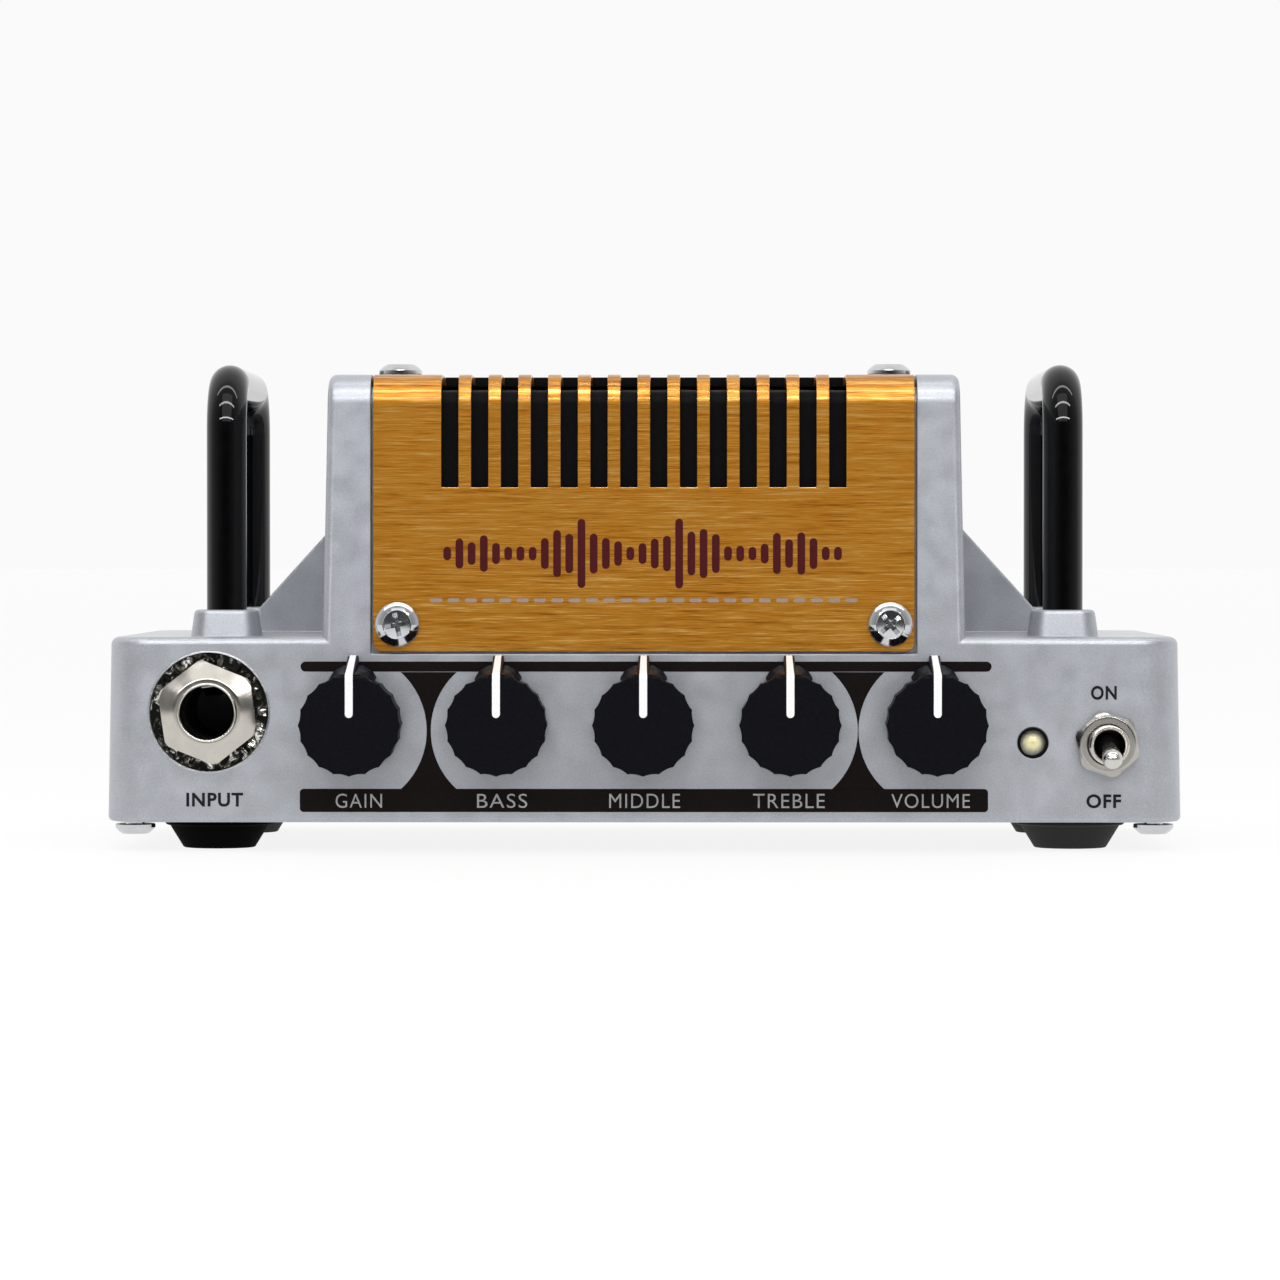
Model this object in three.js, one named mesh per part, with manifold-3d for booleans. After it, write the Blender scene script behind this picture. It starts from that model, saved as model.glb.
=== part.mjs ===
// A very small all-metal guitar amplifier head: a die-cast casing with a low wide base and a
// central tower, a bent sheet cover with vent slots over the tower, two rod handles, five
// rotary controls, a power lever, and the boards, jacks and heat sink that it holds inside.
// Millimetres. +X is to the right seen from the front, +Y to the rear, +Z up.
// The origin is on the floor, below the middle of the overall box.
import * as THREE from 'three';
import { mergeVertices } from 'three/addons/utils/BufferGeometryUtils.js';
import { ConvexGeometry } from 'three/addons/geometries/ConvexGeometry.js';
import Module from 'manifold-3d';

// ---------------------------------------------------------------- driving dimensions
const GAP = 0.3; // clearance between pieces that seat on or pass through each other
const OVERRUN = 1; // how far a cutting shape runs past the face that it cuts
const OVERLAP = 0.5; // how far a shape runs into another that it is joined to
const SPARE = 0.5; // free depth beyond the end of a screw

const BASE = { width: 128, depth: 62, bottom: 3.5, top: 25.5, corner: 5, edge: 0.9, draft: 0.4 };
const FRONT = -27.5;
const REAR = FRONT + BASE.depth;
const WALL = 2.4;
const SIDE_WALL = 2.5;
const TOWER = { rootWidth: 77, inner: 35.6, depth: 48, top: 56.7, bend: 3.5, edge: 1, draft: 1.05 };
const TOWER_REAR = FRONT + TOWER.depth;
const LEDGE = { inner: 26, thickness: 2.1, sill: 27.5 };

const COVER = { width: 64.2, thickness: 1.2, bottom: 23.8, rearBottom: 26.6 };
const SLOT = { count: 14, pitch: 3.536, width: 2, bottom: 43.25, reach: 14 };
const REAR_SLOT = { bottom: 36, top: 50 };
const LINER = { width: 51, thickness: 0.6, offset: 1.9, bottom: 28.2 };

const PLATE = { thickness: 1.5, rim: 0.9 };
const STANDOFF = { radius: 2.5, x: 44, front: -6.5, rear: 28 };
const PLATE_TOP = BASE.bottom + PLATE.thickness;
const CAVITY_TOP = BASE.top - WALL;

const HANDLE = { x: 50.4, front: -15.5, rear: 23.9, radius: 2.4, bend: 5.6, top: 58.3 };
const BOSS = { top: 28.65, topWidth: 7.45, bottomWidth: 8.6, corner: 2.4 };
const HANDLE_SEAT = BASE.top - 0.5;
const GUSSET = { y: 18.1, thickness: 2.2, outerX: 49, low: 28.5, high: 41.3 };

const FOOT = {
  x: 51.3, front: -15.5, rear: 22.5,
  topRadius: 6.5, bottomRadius: 4.4, flange: 0.5, chamfer: 0.3, stem: 1.6, stemTop: 5.6,
};
const BASE_SCREW = { x: 60.75, inset: 4.5, head: 2.4, shank: 1.1, height: 1.65, depth: 9.5 };
const POST_RADIUS = 2.25;
const COVER_SCREW = { head: 2.62, shank: 1.1, height: 1.7, depth: 4.6 };
const FRONT_SCREW = { x: 29.2, z: 27 };
const TOP_SCREW = { x: 29.5, y: -13.5 };
const REAR_SCREW = { x: 29.2, z: 31 };
const HANDLE_SCREW = { head: 2.75, shank: 1.5, height: 1.5, depth: 8.5 };

const KNOB_NAMES = ['gain', 'bass', 'middle', 'treble', 'volume'];
const KNOB = { pitch: 17.2, z: 15.3, radius: 6, flutes: 20, fluteDepth: 0.2, face: -37.5 };
const KNOB_NOSE = { tip: 8, tipHalf: 0.65, rootHalf: 2.7, faceHalf: 0.8 };
const KNOB_WALL = 1.5;
const KNOB_BACK = -27.9;
const SHAFT_RADIUS = 3;
const POT = { width: 9.5, height: 11, bushing: 3.6, front: -24.8, rear: -14.8, endWall: 2.5 };

const JACK = {
  bore: 3.2, bushing: 4.5, rim: 3.52, reach: 3, rimLength: 1.3,
  width: 11.2, length: 20, above: 4.4, below: 5.8,
};
const JACK_END_WALL = 1.5;
const JACK_NUT = { acrossFlats: 11, height: 2.3, face: 4.3, lip: 0.6, turn: 8 };
const NUT_FLANK = 0.72; // the share of a nut's height below its coned face
const INPUT = { x: -51.6, z: 16.6, seatDepth: 0.8 };
const WASHER = { radius: 6.9, thickness: 0.5, teeth: 12, toothDepth: 0.9 };
const REAR_JACK_Z = 15.5;
const REAR_JACKS = { speaker_jack: 44, send_jack: 14, return_jack: -6 };
const SMALL_JACKS = { phones_jack: -23, aux_jack: -35 };
const SMALL_JACK = { bore: 1.8, bushing: 3, width: 8, length: 14 };
const DC_INLET = {
  x: -49, bore: 3.1, pin: 1, pinInset: 1.5, bushing: 5, width: 10.4, length: 13, endWall: 2,
};

const LED = {
  x: 46.1, z: 13, radius: 1.5, tip: -27.2, height: 4.8, clearance: 0.1,
  flange: 0.35, flangeThickness: 1, legX: 0.65,
};
const TOGGLE = { x: 54.9, z: 12.8, bushing: 2.35, bore: 1.85, pivot: -29.5, mouth: -32 };
const TOGGLE_HOUSING = { halfWidth: 2.2, halfHeight: 4.6, depth: 8, pinHalf: 0.4, pinPitch: 2.6 };
const LEVER = { length: 8, tip: 1.2, neck: 0.75, ball: 1.5, tail: 2.2, tailRadius: 0.6, rest: 12.5 };
const TOGGLE_NUT = { acrossFlats: 7.1, height: 1.5, face: 3.25, turn: 12 };

const MAIN_BOARD = { halfWidth: 56, front: -11.5, rear: 31, bottom: 6.5, top: 8.1 };
const CONTROL_BOARD = { left: -44, right: 57, rear: -12.9, bottom: 9, top: 20.9 };
const CAPACITOR = { radius: 4, x: 30, top: 19, front: -4, rear: 5 };
const CHIP = { x: 44, halfWidth: 4.5, front: -8, rear: 1, height: 1.2 };
const COIL = { halfWidth: 6, front: 6.5, rear: 10, height: 1 };
const CONNECTOR = { x: 20, halfWidth: 6, depth: 1.8, bottom: 10, top: 14 };
const HEAT_SINK = {
  halfWidth: 20, front: -6, spine: 3, fin: 9, fins: 8, finWidth: 1.6, finBottom: 24, top: 50,
};

// ---------------------------------------------------------------- building solids
const wasm = await Module();
wasm.setup();

/** A closed surface as a solid that can be joined and cut. */
function solid(geometry) {
  const bare = geometry.clone();
  bare.deleteAttribute('normal');
  bare.deleteAttribute('uv');
  const merged = mergeVertices(bare, 1e-4);
  const corners = merged.index.array;
  const triVerts = [];
  for (let i = 0; i < corners.length; i += 3) {
    const [a, b, c] = corners.slice(i, i + 3);
    if (a !== b && b !== c && c !== a) triVerts.push(a, b, c);
  }
  return new wasm.Manifold(new wasm.Mesh({
    numProp: 3,
    vertProperties: Float32Array.from(merged.attributes.position.array),
    triVerts: Uint32Array.from(triVerts),
  }));
}

/** The surface of a solid, with flat faces. */
function geometryOf(body) {
  const mesh = body.getMesh();
  const geometry = new THREE.BufferGeometry();
  geometry.setAttribute('position', new THREE.BufferAttribute(mesh.vertProperties, mesh.numProp));
  geometry.setIndex(new THREE.BufferAttribute(mesh.triVerts, 1));
  return geometry;
}

/** The union of several solids. */
function joined(bodies) {
  return bodies.reduce((whole, body) => whole.add(body));
}

/** A solid with several others cut out of it. */
function cut(body, tools) {
  return body.subtract(joined(tools));
}

/** A box between two corners. */
function block([x0, y0, z0], [x1, y1, z1]) {
  const geometry = new THREE.BoxGeometry(x1 - x0, y1 - y0, z1 - z0);
  return solid(geometry.translate((x0 + x1) / 2, (y0 + y1) / 2, (z0 + z1) / 2));
}

/** Puts a shape that is drawn along its own +Y on the line from one point to another. */
function aimed(geometry, from, to) {
  const start = new THREE.Vector3(...from);
  const direction = new THREE.Vector3(...to).sub(start).normalize();
  const turn = new THREE.Quaternion().setFromUnitVectors(new THREE.Vector3(0, 1, 0), direction);
  return geometry.applyQuaternion(turn).translate(start.x, start.y, start.z);
}

/** How many sides a round piece gets: more on a wide one. */
function sidesFor(radius) {
  if (radius < 2) return 10;
  return radius < 4 ? 14 : 18;
}

/** A round rod between two points. Its corners lie at the stated radius. */
function rod(radius, from, to, sides = sidesFor(radius)) {
  const length = new THREE.Vector3(...from).distanceTo(new THREE.Vector3(...to));
  const geometry = new THREE.CylinderGeometry(radius, radius, length, sides);
  return solid(aimed(geometry.translate(0, length / 2, 0), from, to));
}

/** A turned solid: profile points are [radius, height] along the line from one point to another. */
function turned(profile, from, to, sides = 14) {
  const points = profile.map(([radius, height]) => new THREE.Vector2(radius, height));
  const onAxis = profile[0][0] === 0 && profile.at(-1)[0] === 0;
  if (!onAxis) points.push(points[0].clone());
  return solid(aimed(new THREE.LatheGeometry(points, sides), from, to));
}

/** Points on an arc about a centre, angles in degrees. */
function arc(cx, cy, radius, start, end, steps) {
  return Array.from({ length: steps + 1 }, (_, i) => {
    const angle = THREE.MathUtils.degToRad(start + ((end - start) * i) / steps);
    return new THREE.Vector2(cx + radius * Math.cos(angle), cy + radius * Math.sin(angle));
  });
}

/** The outline of a rectangle with rounded corners. */
function roundedRect(x0, x1, y0, y1, radius, steps = 3) {
  return [
    ...arc(x1 - radius, y0 + radius, radius, -90, 0, steps),
    ...arc(x1 - radius, y1 - radius, radius, 0, 90, steps),
    ...arc(x0 + radius, y1 - radius, radius, 90, 180, steps),
    ...arc(x0 + radius, y0 + radius, radius, 180, 270, steps),
  ];
}

/** An outline in the XY plane, extruded up from z0 to z1, with its rims rounded by edge. */
function upright(outline, z0, z1, edge = 0) {
  const geometry = new THREE.ExtrudeGeometry(new THREE.Shape(outline), {
    depth: z1 - z0 - 2 * edge,
    bevelEnabled: edge > 0,
    bevelThickness: edge,
    bevelSize: edge,
    bevelOffset: -edge,
    bevelSegments: 1,
  });
  return geometry.translate(0, 0, z0 + edge);
}

/** A side outline in the YZ plane, extruded along X to both sides of the middle. */
function sideways(outline, halfWidth, edge = 0) {
  const basis = new THREE.Matrix4().makeBasis(
    new THREE.Vector3(0, 1, 0),
    new THREE.Vector3(0, 0, 1),
    new THREE.Vector3(1, 0, 0),
  );
  return upright(outline, -halfWidth, halfWidth, edge).applyMatrix4(basis);
}

/** A front outline in the XZ plane, extruded to the rear from y0 to y1. */
function facing(outline, y0, y1) {
  const basis = new THREE.Matrix4().makeBasis(
    new THREE.Vector3(1, 0, 0),
    new THREE.Vector3(0, 0, 1),
    new THREE.Vector3(0, -1, 0),
  );
  return upright(outline, -y1, -y0).applyMatrix4(basis);
}

/** Narrows a surface evenly in X, by inset on each side at height z1 and nothing at z0. */
function drafted(geometry, halfWidth, inset, z0, z1) {
  const position = geometry.attributes.position;
  for (let i = 0; i < position.count; i += 1) {
    const share = THREE.MathUtils.clamp((position.getZ(i) - z0) / (z1 - z0), 0, 1);
    position.setX(i, position.getX(i) * (1 - (inset / halfWidth) * share));
  }
  return geometry;
}

/** A solid on each side: make is called with -1 for the left and +1 for the right. */
function onBothSides(make) {
  return [-1, 1].map(make);
}

// ---------------------------------------------------------------- shared profiles
/** The tower's side profile, moved inwards by offset, between two heights. */
function towerProfile(offset, bottom) {
  const radius = TOWER.bend - offset;
  const front = FRONT + offset;
  const rear = TOWER_REAR - offset;
  const top = TOWER.top - offset;
  return [
    new THREE.Vector2(rear, bottom),
    ...arc(rear - radius, top - radius, radius, 0, 90, 4),
    ...arc(front + radius, top - radius, radius, 90, 180, 4),
    new THREE.Vector2(front, bottom),
  ];
}

/** A bent sheet that follows the tower's front, top and rear. */
function bentSheet(offset, thickness, halfWidth, frontBottom, rearBottom) {
  const outer = towerProfile(offset, frontBottom);
  const inner = towerProfile(offset + thickness, frontBottom);
  outer[0].y = rearBottom;
  inner[0].y = rearBottom;
  return solid(sideways([...outer, ...inner.reverse()], halfWidth));
}

/** Where the four corner screws stand, as [x, y]. */
function cornerScrewPlaces() {
  const ys = [FRONT + BASE_SCREW.inset, REAR - BASE_SCREW.inset];
  return onBothSides((side) => ys.map((y) => [side * BASE_SCREW.x, y])).flat();
}

/** Where the handle legs stand, as [x, y]. */
function handleLegPlaces() {
  return onBothSides((side) => [HANDLE.front, HANDLE.rear].map((y) => [side * HANDLE.x, y])).flat();
}

/** Where the feet stand, as [x, y]. */
function footPlaces() {
  return onBothSides((side) => [FOOT.front, FOOT.rear].map((y) => [side * FOOT.x, y])).flat();
}

/** The middle of a rotary control, from its place in the row. */
function knobX(index) {
  return (index - (KNOB_NAMES.length - 1) / 2) * KNOB.pitch;
}

// ---------------------------------------------------------------- casing
/** A cast boss with rounded corners that holds the end of a handle leg. */
function boss([x, y]) {
  const half = BOSS.bottomWidth / 2;
  const height = BOSS.top - BASE.top + OVERRUN;
  const geometry = upright(roundedRect(-half, half, -half, half, BOSS.corner, 2), 0, height);
  const position = geometry.attributes.position;
  for (let i = 0; i < position.count; i += 1) {
    const share = position.getZ(i) / height;
    const scale = THREE.MathUtils.lerp(1, BOSS.topWidth / BOSS.bottomWidth, share);
    position.setXY(i, position.getX(i) * scale, position.getY(i) * scale);
  }
  return solid(geometry.translate(x, y, BASE.top - OVERRUN));
}

/** The rib that runs down from the tower's side to the deck beside the rear boss. */
function gusset(side) {
  const root = TOWER.rootWidth / 2 - 2 * OVERRUN;
  const outline = [
    new THREE.Vector2(root, BASE.top - OVERRUN),
    new THREE.Vector2(GUSSET.outerX, BASE.top - OVERRUN),
    new THREE.Vector2(GUSSET.outerX, GUSSET.low),
    new THREE.Vector2(root, GUSSET.high + OVERRUN),
  ];
  const mirrored = outline.map((p) => new THREE.Vector2(-p.x, p.y)).reverse();
  const chosen = side > 0 ? outline : mirrored;
  return solid(facing(chosen, GUSSET.y, GUSSET.y + GUSSET.thickness));
}

/** The casting's outside: base, tower, bosses and ribs, before it is hollowed. */
function castingOutside() {
  const plan = roundedRect(-BASE.width / 2, BASE.width / 2, FRONT, REAR, BASE.corner, 4);
  const base = upright(plan, BASE.bottom, BASE.top, BASE.edge);
  const root = BASE.bottom + WALL;
  const tower = sideways(towerProfile(0, root), TOWER.rootWidth / 2, TOWER.edge);
  return joined([
    solid(drafted(base, BASE.width / 2, BASE.draft, BASE.bottom, BASE.top)),
    solid(drafted(tower, TOWER.rootWidth / 2, TOWER.draft, root, TOWER.top)),
    ...handleLegPlaces().map(boss),
    ...onBothSides(gusset),
  ]);
}

/** The hollow under the deck, the plate's rebate, the tower's inside and the cover's recess. */
function castingHollows() {
  const inner = BASE.width / 2 - SIDE_WALL;
  const room = roundedRect(-inner, inner, FRONT + WALL, REAR - WALL, BASE.corner - WALL, 3);
  const rim = BASE.width / 2 - PLATE.rim;
  const rebate = roundedRect(-rim, rim, FRONT + PLATE.rim, REAR - PLATE.rim, BASE.corner - PLATE.rim);
  const sheet = COVER.thickness + GAP;
  const ledgeBack = sheet + LEDGE.thickness;
  const recess = bentSheet(-OVERRUN, OVERRUN + sheet, COVER.width / 2 + GAP,
    COVER.bottom - GAP, COVER.rearBottom - GAP);
  return [
    solid(upright(room, BASE.bottom + OVERLAP, CAVITY_TOP)),
    solid(upright(rebate, BASE.bottom - OVERRUN, PLATE_TOP + GAP)),
    recess,
    block([-TOWER.inner, FRONT + ledgeBack, CAVITY_TOP - OVERRUN],
      [TOWER.inner, TOWER_REAR - ledgeBack, TOWER.top - ledgeBack]),
    block([-LEDGE.inner, FRONT - OVERRUN, LEDGE.sill],
      [LEDGE.inner, TOWER_REAR + OVERRUN, TOWER.top + OVERRUN]),
  ];
}

/** A drilled hole from one point to another, wider than its rod by the clearance. */
function drilled(radius, from, to) {
  return rod(radius + GAP, from, to);
}

/** Every hole in the casting. */
function castingHoles() {
  const inside = FRONT + WALL + OVERRUN;
  const through = ([x, z], radius) => drilled(radius, [x, FRONT - OVERRUN, z], [x, inside, z]);
  const rearward = ([x, z], radius) => drilled(
    radius, [x, REAR - WALL - OVERRUN, z], [x, REAR + OVERRUN, z]);
  const ledgeIn = COVER.thickness + LEDGE.thickness + OVERRUN;
  return [
    through([INPUT.x, INPUT.z], JACK.bushing),
    drilled(WASHER.radius, [INPUT.x, FRONT - OVERRUN, INPUT.z],
      [INPUT.x, FRONT + INPUT.seatDepth, INPUT.z]),
    ...KNOB_NAMES.map((_, i) => through([knobX(i), KNOB.z], POT.bushing)),
    through([LED.x, LED.z], LED.radius + LED.clearance),
    through([TOGGLE.x, TOGGLE.z], TOGGLE.bushing),
    ...Object.values(REAR_JACKS).map((x) => rearward([x, REAR_JACK_Z], JACK.bushing)),
    ...Object.values(SMALL_JACKS).map((x) => rearward([x, REAR_JACK_Z], SMALL_JACK.bushing)),
    rearward([DC_INLET.x, REAR_JACK_Z], DC_INLET.bushing),
    ...handleLegPlaces().flatMap(([x, y]) => [
      drilled(HANDLE.radius, [x, y, HANDLE_SEAT], [x, y, BOSS.top + OVERRUN]),
      drilled(HANDLE_SCREW.shank, [x, y, CAVITY_TOP - OVERRUN], [x, y, BASE.top]),
    ]),
    ...cornerScrewPlaces().map(([x, y]) => drilled(
      BASE_SCREW.shank, [x, y, BASE.bottom], [x, y, BASE.bottom + BASE_SCREW.depth + SPARE])),
    ...onBothSides((side) => drilled(COVER_SCREW.shank,
      [side * FRONT_SCREW.x, FRONT, FRONT_SCREW.z],
      [side * FRONT_SCREW.x, FRONT + ledgeIn, FRONT_SCREW.z])),
    ...onBothSides((side) => drilled(COVER_SCREW.shank,
      [side * TOP_SCREW.x, TOP_SCREW.y, TOWER.top - ledgeIn],
      [side * TOP_SCREW.x, TOP_SCREW.y, TOWER.top])),
    ...onBothSides((side) => drilled(COVER_SCREW.shank,
      [side * REAR_SCREW.x, TOWER_REAR - ledgeIn, REAR_SCREW.z],
      [side * REAR_SCREW.x, TOWER_REAR, REAR_SCREW.z])),
  ];
}

/** The die-cast casing: base and tower in one piece, open below and behind the cover. */
function chassis() {
  const shell = cut(castingOutside(), castingHollows());
  const posts = cornerScrewPlaces().map(([x, y]) => rod(
    POST_RADIUS, [x, y, PLATE_TOP + 2 * GAP], [x, y, CAVITY_TOP + OVERLAP]));
  return cut(joined([shell, ...posts]), castingHoles());
}

/** The steel plate that closes the base, with four standoffs for the main board. */
function bottomPlate() {
  const reach = BASE.width / 2 - PLATE.rim - GAP;
  const near = FRONT + PLATE.rim + GAP;
  const far = REAR - PLATE.rim - GAP;
  const plan = roundedRect(-reach, reach, near, far, BASE.corner - PLATE.rim - GAP);
  const sheet = solid(upright(plan, BASE.bottom, PLATE_TOP));
  const standoffs = onBothSides((side) => [STANDOFF.front, STANDOFF.rear].map((y) => rod(
    STANDOFF.radius, [side * STANDOFF.x, y, PLATE_TOP - OVERLAP],
    [side * STANDOFF.x, y, MAIN_BOARD.bottom - GAP], 12))).flat();
  return cut(joined([sheet, ...standoffs]), [
    ...cornerScrewPlaces().map(([x, y]) => drilled(
      BASE_SCREW.shank, [x, y, BASE.bottom - OVERRUN], [x, y, PLATE_TOP + OVERRUN])),
    ...footPlaces().map(([x, y]) => drilled(
      FOOT.stem, [x, y, BASE.bottom - OVERRUN], [x, y, PLATE_TOP + OVERRUN])),
  ]);
}

/** The gold cover: one sheet bent over the tower, slotted over its front bend and in its rear. */
function towerCover() {
  const sheet = bentSheet(0, COVER.thickness, COVER.width / 2, COVER.bottom, COVER.rearBottom);
  const inside = COVER.thickness + 2 * OVERRUN;
  const slots = Array.from({ length: SLOT.count }, (_, i) => {
    const x = (i - (SLOT.count - 1) / 2) * SLOT.pitch;
    const left = x - SLOT.width / 2;
    const right = x + SLOT.width / 2;
    return [
      block([left, FRONT - OVERRUN, SLOT.bottom], [right, FRONT + SLOT.reach, TOWER.top + OVERRUN]),
      block([left, TOWER_REAR - inside, REAR_SLOT.bottom],
        [right, TOWER_REAR + OVERRUN, REAR_SLOT.top]),
    ];
  }).flat();
  const holes = onBothSides((side) => [
    drilled(COVER_SCREW.shank, [side * FRONT_SCREW.x, FRONT - OVERRUN, FRONT_SCREW.z],
      [side * FRONT_SCREW.x, FRONT + inside, FRONT_SCREW.z]),
    drilled(COVER_SCREW.shank, [side * TOP_SCREW.x, TOP_SCREW.y, TOWER.top - inside],
      [side * TOP_SCREW.x, TOP_SCREW.y, TOWER.top + OVERRUN]),
    drilled(COVER_SCREW.shank, [side * REAR_SCREW.x, TOWER_REAR - inside, REAR_SCREW.z],
      [side * REAR_SCREW.x, TOWER_REAR + OVERRUN, REAR_SCREW.z]),
  ]).flat();
  return cut(sheet, [...slots, ...holes]);
}

/** The thin black sheet behind the slots. */
function ventLiner() {
  return bentSheet(LINER.offset, LINER.thickness, LINER.width / 2, LINER.bottom, LINER.bottom);
}

// ---------------------------------------------------------------- handles, feet and screws
/** The line along a handle's rod: up, a quarter bend, across, a quarter bend, down. */
class HandleLine extends THREE.Curve {
  getPoint(t) {
    const { front, rear, bend, radius } = HANDLE;
    const top = HANDLE.top - radius;
    const leg = top - bend - HANDLE_SEAT - GAP;
    const quarter = (Math.PI / 2) * bend;
    const across = rear - front - 2 * bend;
    const middle = (front + rear) / 2;
    const total = 2 * (leg + quarter) + across;
    const side = t < 0.5 ? -1 : 1;
    const along = Math.abs(t - 0.5) * total;
    const corner = across / 2;
    if (along <= corner) return new THREE.Vector3(0, middle + side * along, top);
    const turn = Math.min((along - corner) / bend, Math.PI / 2);
    const drop = Math.max(along - corner - quarter, 0);
    return new THREE.Vector3(
      0,
      middle + side * (corner + bend * Math.sin(turn)),
      top - bend * (1 - Math.cos(turn)) - drop,
    );
  }
}

/** A rod handle with a threaded hole up each leg. */
function handle(side) {
  const section = new THREE.Shape(arc(0, 0, HANDLE.radius, 0, 324, 9));
  const rodGeometry = new THREE.ExtrudeGeometry(section, {
    extrudePath: new HandleLine(),
    steps: 26,
    bevelEnabled: false,
  });
  const x = side * HANDLE.x;
  const body = solid(rodGeometry.translate(x, 0, 0));
  const threadTop = CAVITY_TOP + HANDLE_SCREW.depth + SPARE;
  const threads = [HANDLE.front, HANDLE.rear].map((y) => drilled(
    HANDLE_SCREW.shank, [x, y, HANDLE_SEAT - OVERRUN], [x, y, threadTop]));
  return cut(body, threads);
}

/** A rubber foot: a cut cone under a thin flange, with a stem pushed through the plate. */
function foot([x, y]) {
  const seat = BASE.bottom - GAP;
  const { topRadius, bottomRadius, flange, chamfer, stem, stemTop } = FOOT;
  const profile = [
    [0, 0],
    [bottomRadius - chamfer, 0],
    [bottomRadius, chamfer],
    [topRadius - 2 * chamfer, seat - flange],
    [topRadius, seat - flange],
    [topRadius, seat],
    [stem, seat],
    [stem, stemTop],
    [0, stemTop],
  ];
  return turned(profile, [x, y, 0], [x, y, 1]);
}

/** A domed cross-recess screw. The head rises from seat towards out, and the shank goes in. */
function screw({ head, shank, height, depth }, seat, out) {
  const start = new THREE.Vector3(...seat);
  const direction = new THREE.Vector3(...out);
  const at = (distance) => start.clone().addScaledVector(direction, distance).toArray();
  const profile = [
    [0, -depth],
    [shank, -depth],
    [shank, 0],
    [head, 0],
    [head, height * 0.45],
    [head * 0.6, height],
    [0, height],
  ];
  const body = turned(profile, at(0), at(1), 12);
  const arm = new THREE.BoxGeometry(head * 1.05, height, head * 0.26).translate(0, height, 0);
  const across = arm.clone().rotateY(Math.PI / 2);
  return cut(body, [arm, across].map((bar) => solid(aimed(bar, at(0), at(1)))));
}

// ---------------------------------------------------------------- controls
/** A fluted knob with a pointer nose that widens towards the panel. */
function knob(index) {
  const back = KNOB_BACK;
  const { radius, flutes, fluteDepth, face } = KNOB;
  const steps = flutes * 2;
  const outline = Array.from({ length: steps }, (_, i) => {
    const angle = Math.PI / 2 + (i / steps) * 2 * Math.PI;
    const r = radius - (i % 2) * fluteDepth;
    return new THREE.Vector2(r * Math.cos(angle), r * Math.sin(angle));
  });
  const body = solid(facing(outline, face, back));
  const { tip, tipHalf, rootHalf, faceHalf } = KNOB_NOSE;
  const halves = [
    [faceHalf, radius - 0.1, face + 0.2],
    [faceHalf, radius - 2, face + 0.2],
    [tipHalf, tip, back],
    [tipHalf, tip, back - 0.8],
    [rootHalf, radius - 1, back],
    [rootHalf, radius - 1, back - 4],
  ];
  const corners = halves.flatMap(([half, z, y]) => onBothSides(
    (side) => new THREE.Vector3(side * half, y, z)));
  const nose = solid(new ConvexGeometry(corners));
  const bore = drilled(SHAFT_RADIUS, [0, face + KNOB_WALL - GAP, 0], [0, back + OVERRUN, 0]);
  return body.add(nose).subtract(bore).translate([knobX(index), 0, KNOB.z]);
}

/** The round shaft that a knob turns. */
function potShaft(index) {
  const x = knobX(index);
  return rod(SHAFT_RADIUS, [x, KNOB.face + KNOB_WALL, KNOB.z], [x, POT.rear - POT.endWall - GAP, KNOB.z]);
}

/** A potentiometer's fixed body with its bushing through the panel. */
function potBody(index) {
  const x = knobX(index);
  const half = POT.width / 2;
  const housing = block([x - half, POT.front, KNOB.z - POT.height / 2],
    [x + half, POT.rear, KNOB.z + POT.height / 2]);
  const bushing = rod(POT.bushing, [x, FRONT, KNOB.z], [x, POT.front + OVERRUN, KNOB.z]);
  const bore = drilled(SHAFT_RADIUS, [x, FRONT - OVERRUN, KNOB.z], [x, POT.rear - POT.endWall, KNOB.z]);
  return cut(joined([housing, bushing]), [bore]);
}

/** The power light: a clear dome on a short flange, with two legs to the board. */
function powerLed() {
  const { x, z, radius, tip, height, flange, flangeThickness, legX } = LED;
  const profile = [
    [0, -height],
    [radius + flange, -height],
    [radius + flange, -height + flangeThickness],
    [radius, -height + flangeThickness],
    [radius, -radius],
    ...arc(0, -radius, radius, 18, 72, 3).map((p) => [p.x, p.y]),
    [0, 0],
  ];
  const dome = turned(profile, [x, tip, z], [x, tip - 1, z], 12);
  const legs = onBothSides((side) => block([x + side * legX - 0.2, tip + height - OVERLAP, z - 0.25],
    [x + side * legX + 0.2, POT.rear, z + 0.25]));
  return joined([dome, ...legs]);
}

/** The power switch's fixed body and threaded bushing. */
function toggleBody() {
  const { x, z, bushing, bore, mouth, pivot } = TOGGLE;
  const { halfWidth, halfHeight, depth, pinHalf, pinPitch } = TOGGLE_HOUSING;
  const back = POT.front + depth;
  const housing = block([x - halfWidth, POT.front, z - halfHeight], [x + halfWidth, back, z + halfHeight]);
  const neck = rod(bushing, [x, mouth, z], [x, POT.front + OVERRUN, z]);
  const pins = [-pinPitch, 0, pinPitch].map((rise) => block(
    [x - pinHalf, back - OVERLAP, z + rise - pinHalf], [x + pinHalf, POT.rear, z + rise + pinHalf]));
  const well = rod(bore, [x, mouth - OVERRUN, z], [x, pivot + 3, z], 14);
  return cut(joined([housing, neck, ...pins]), [well]);
}

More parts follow.
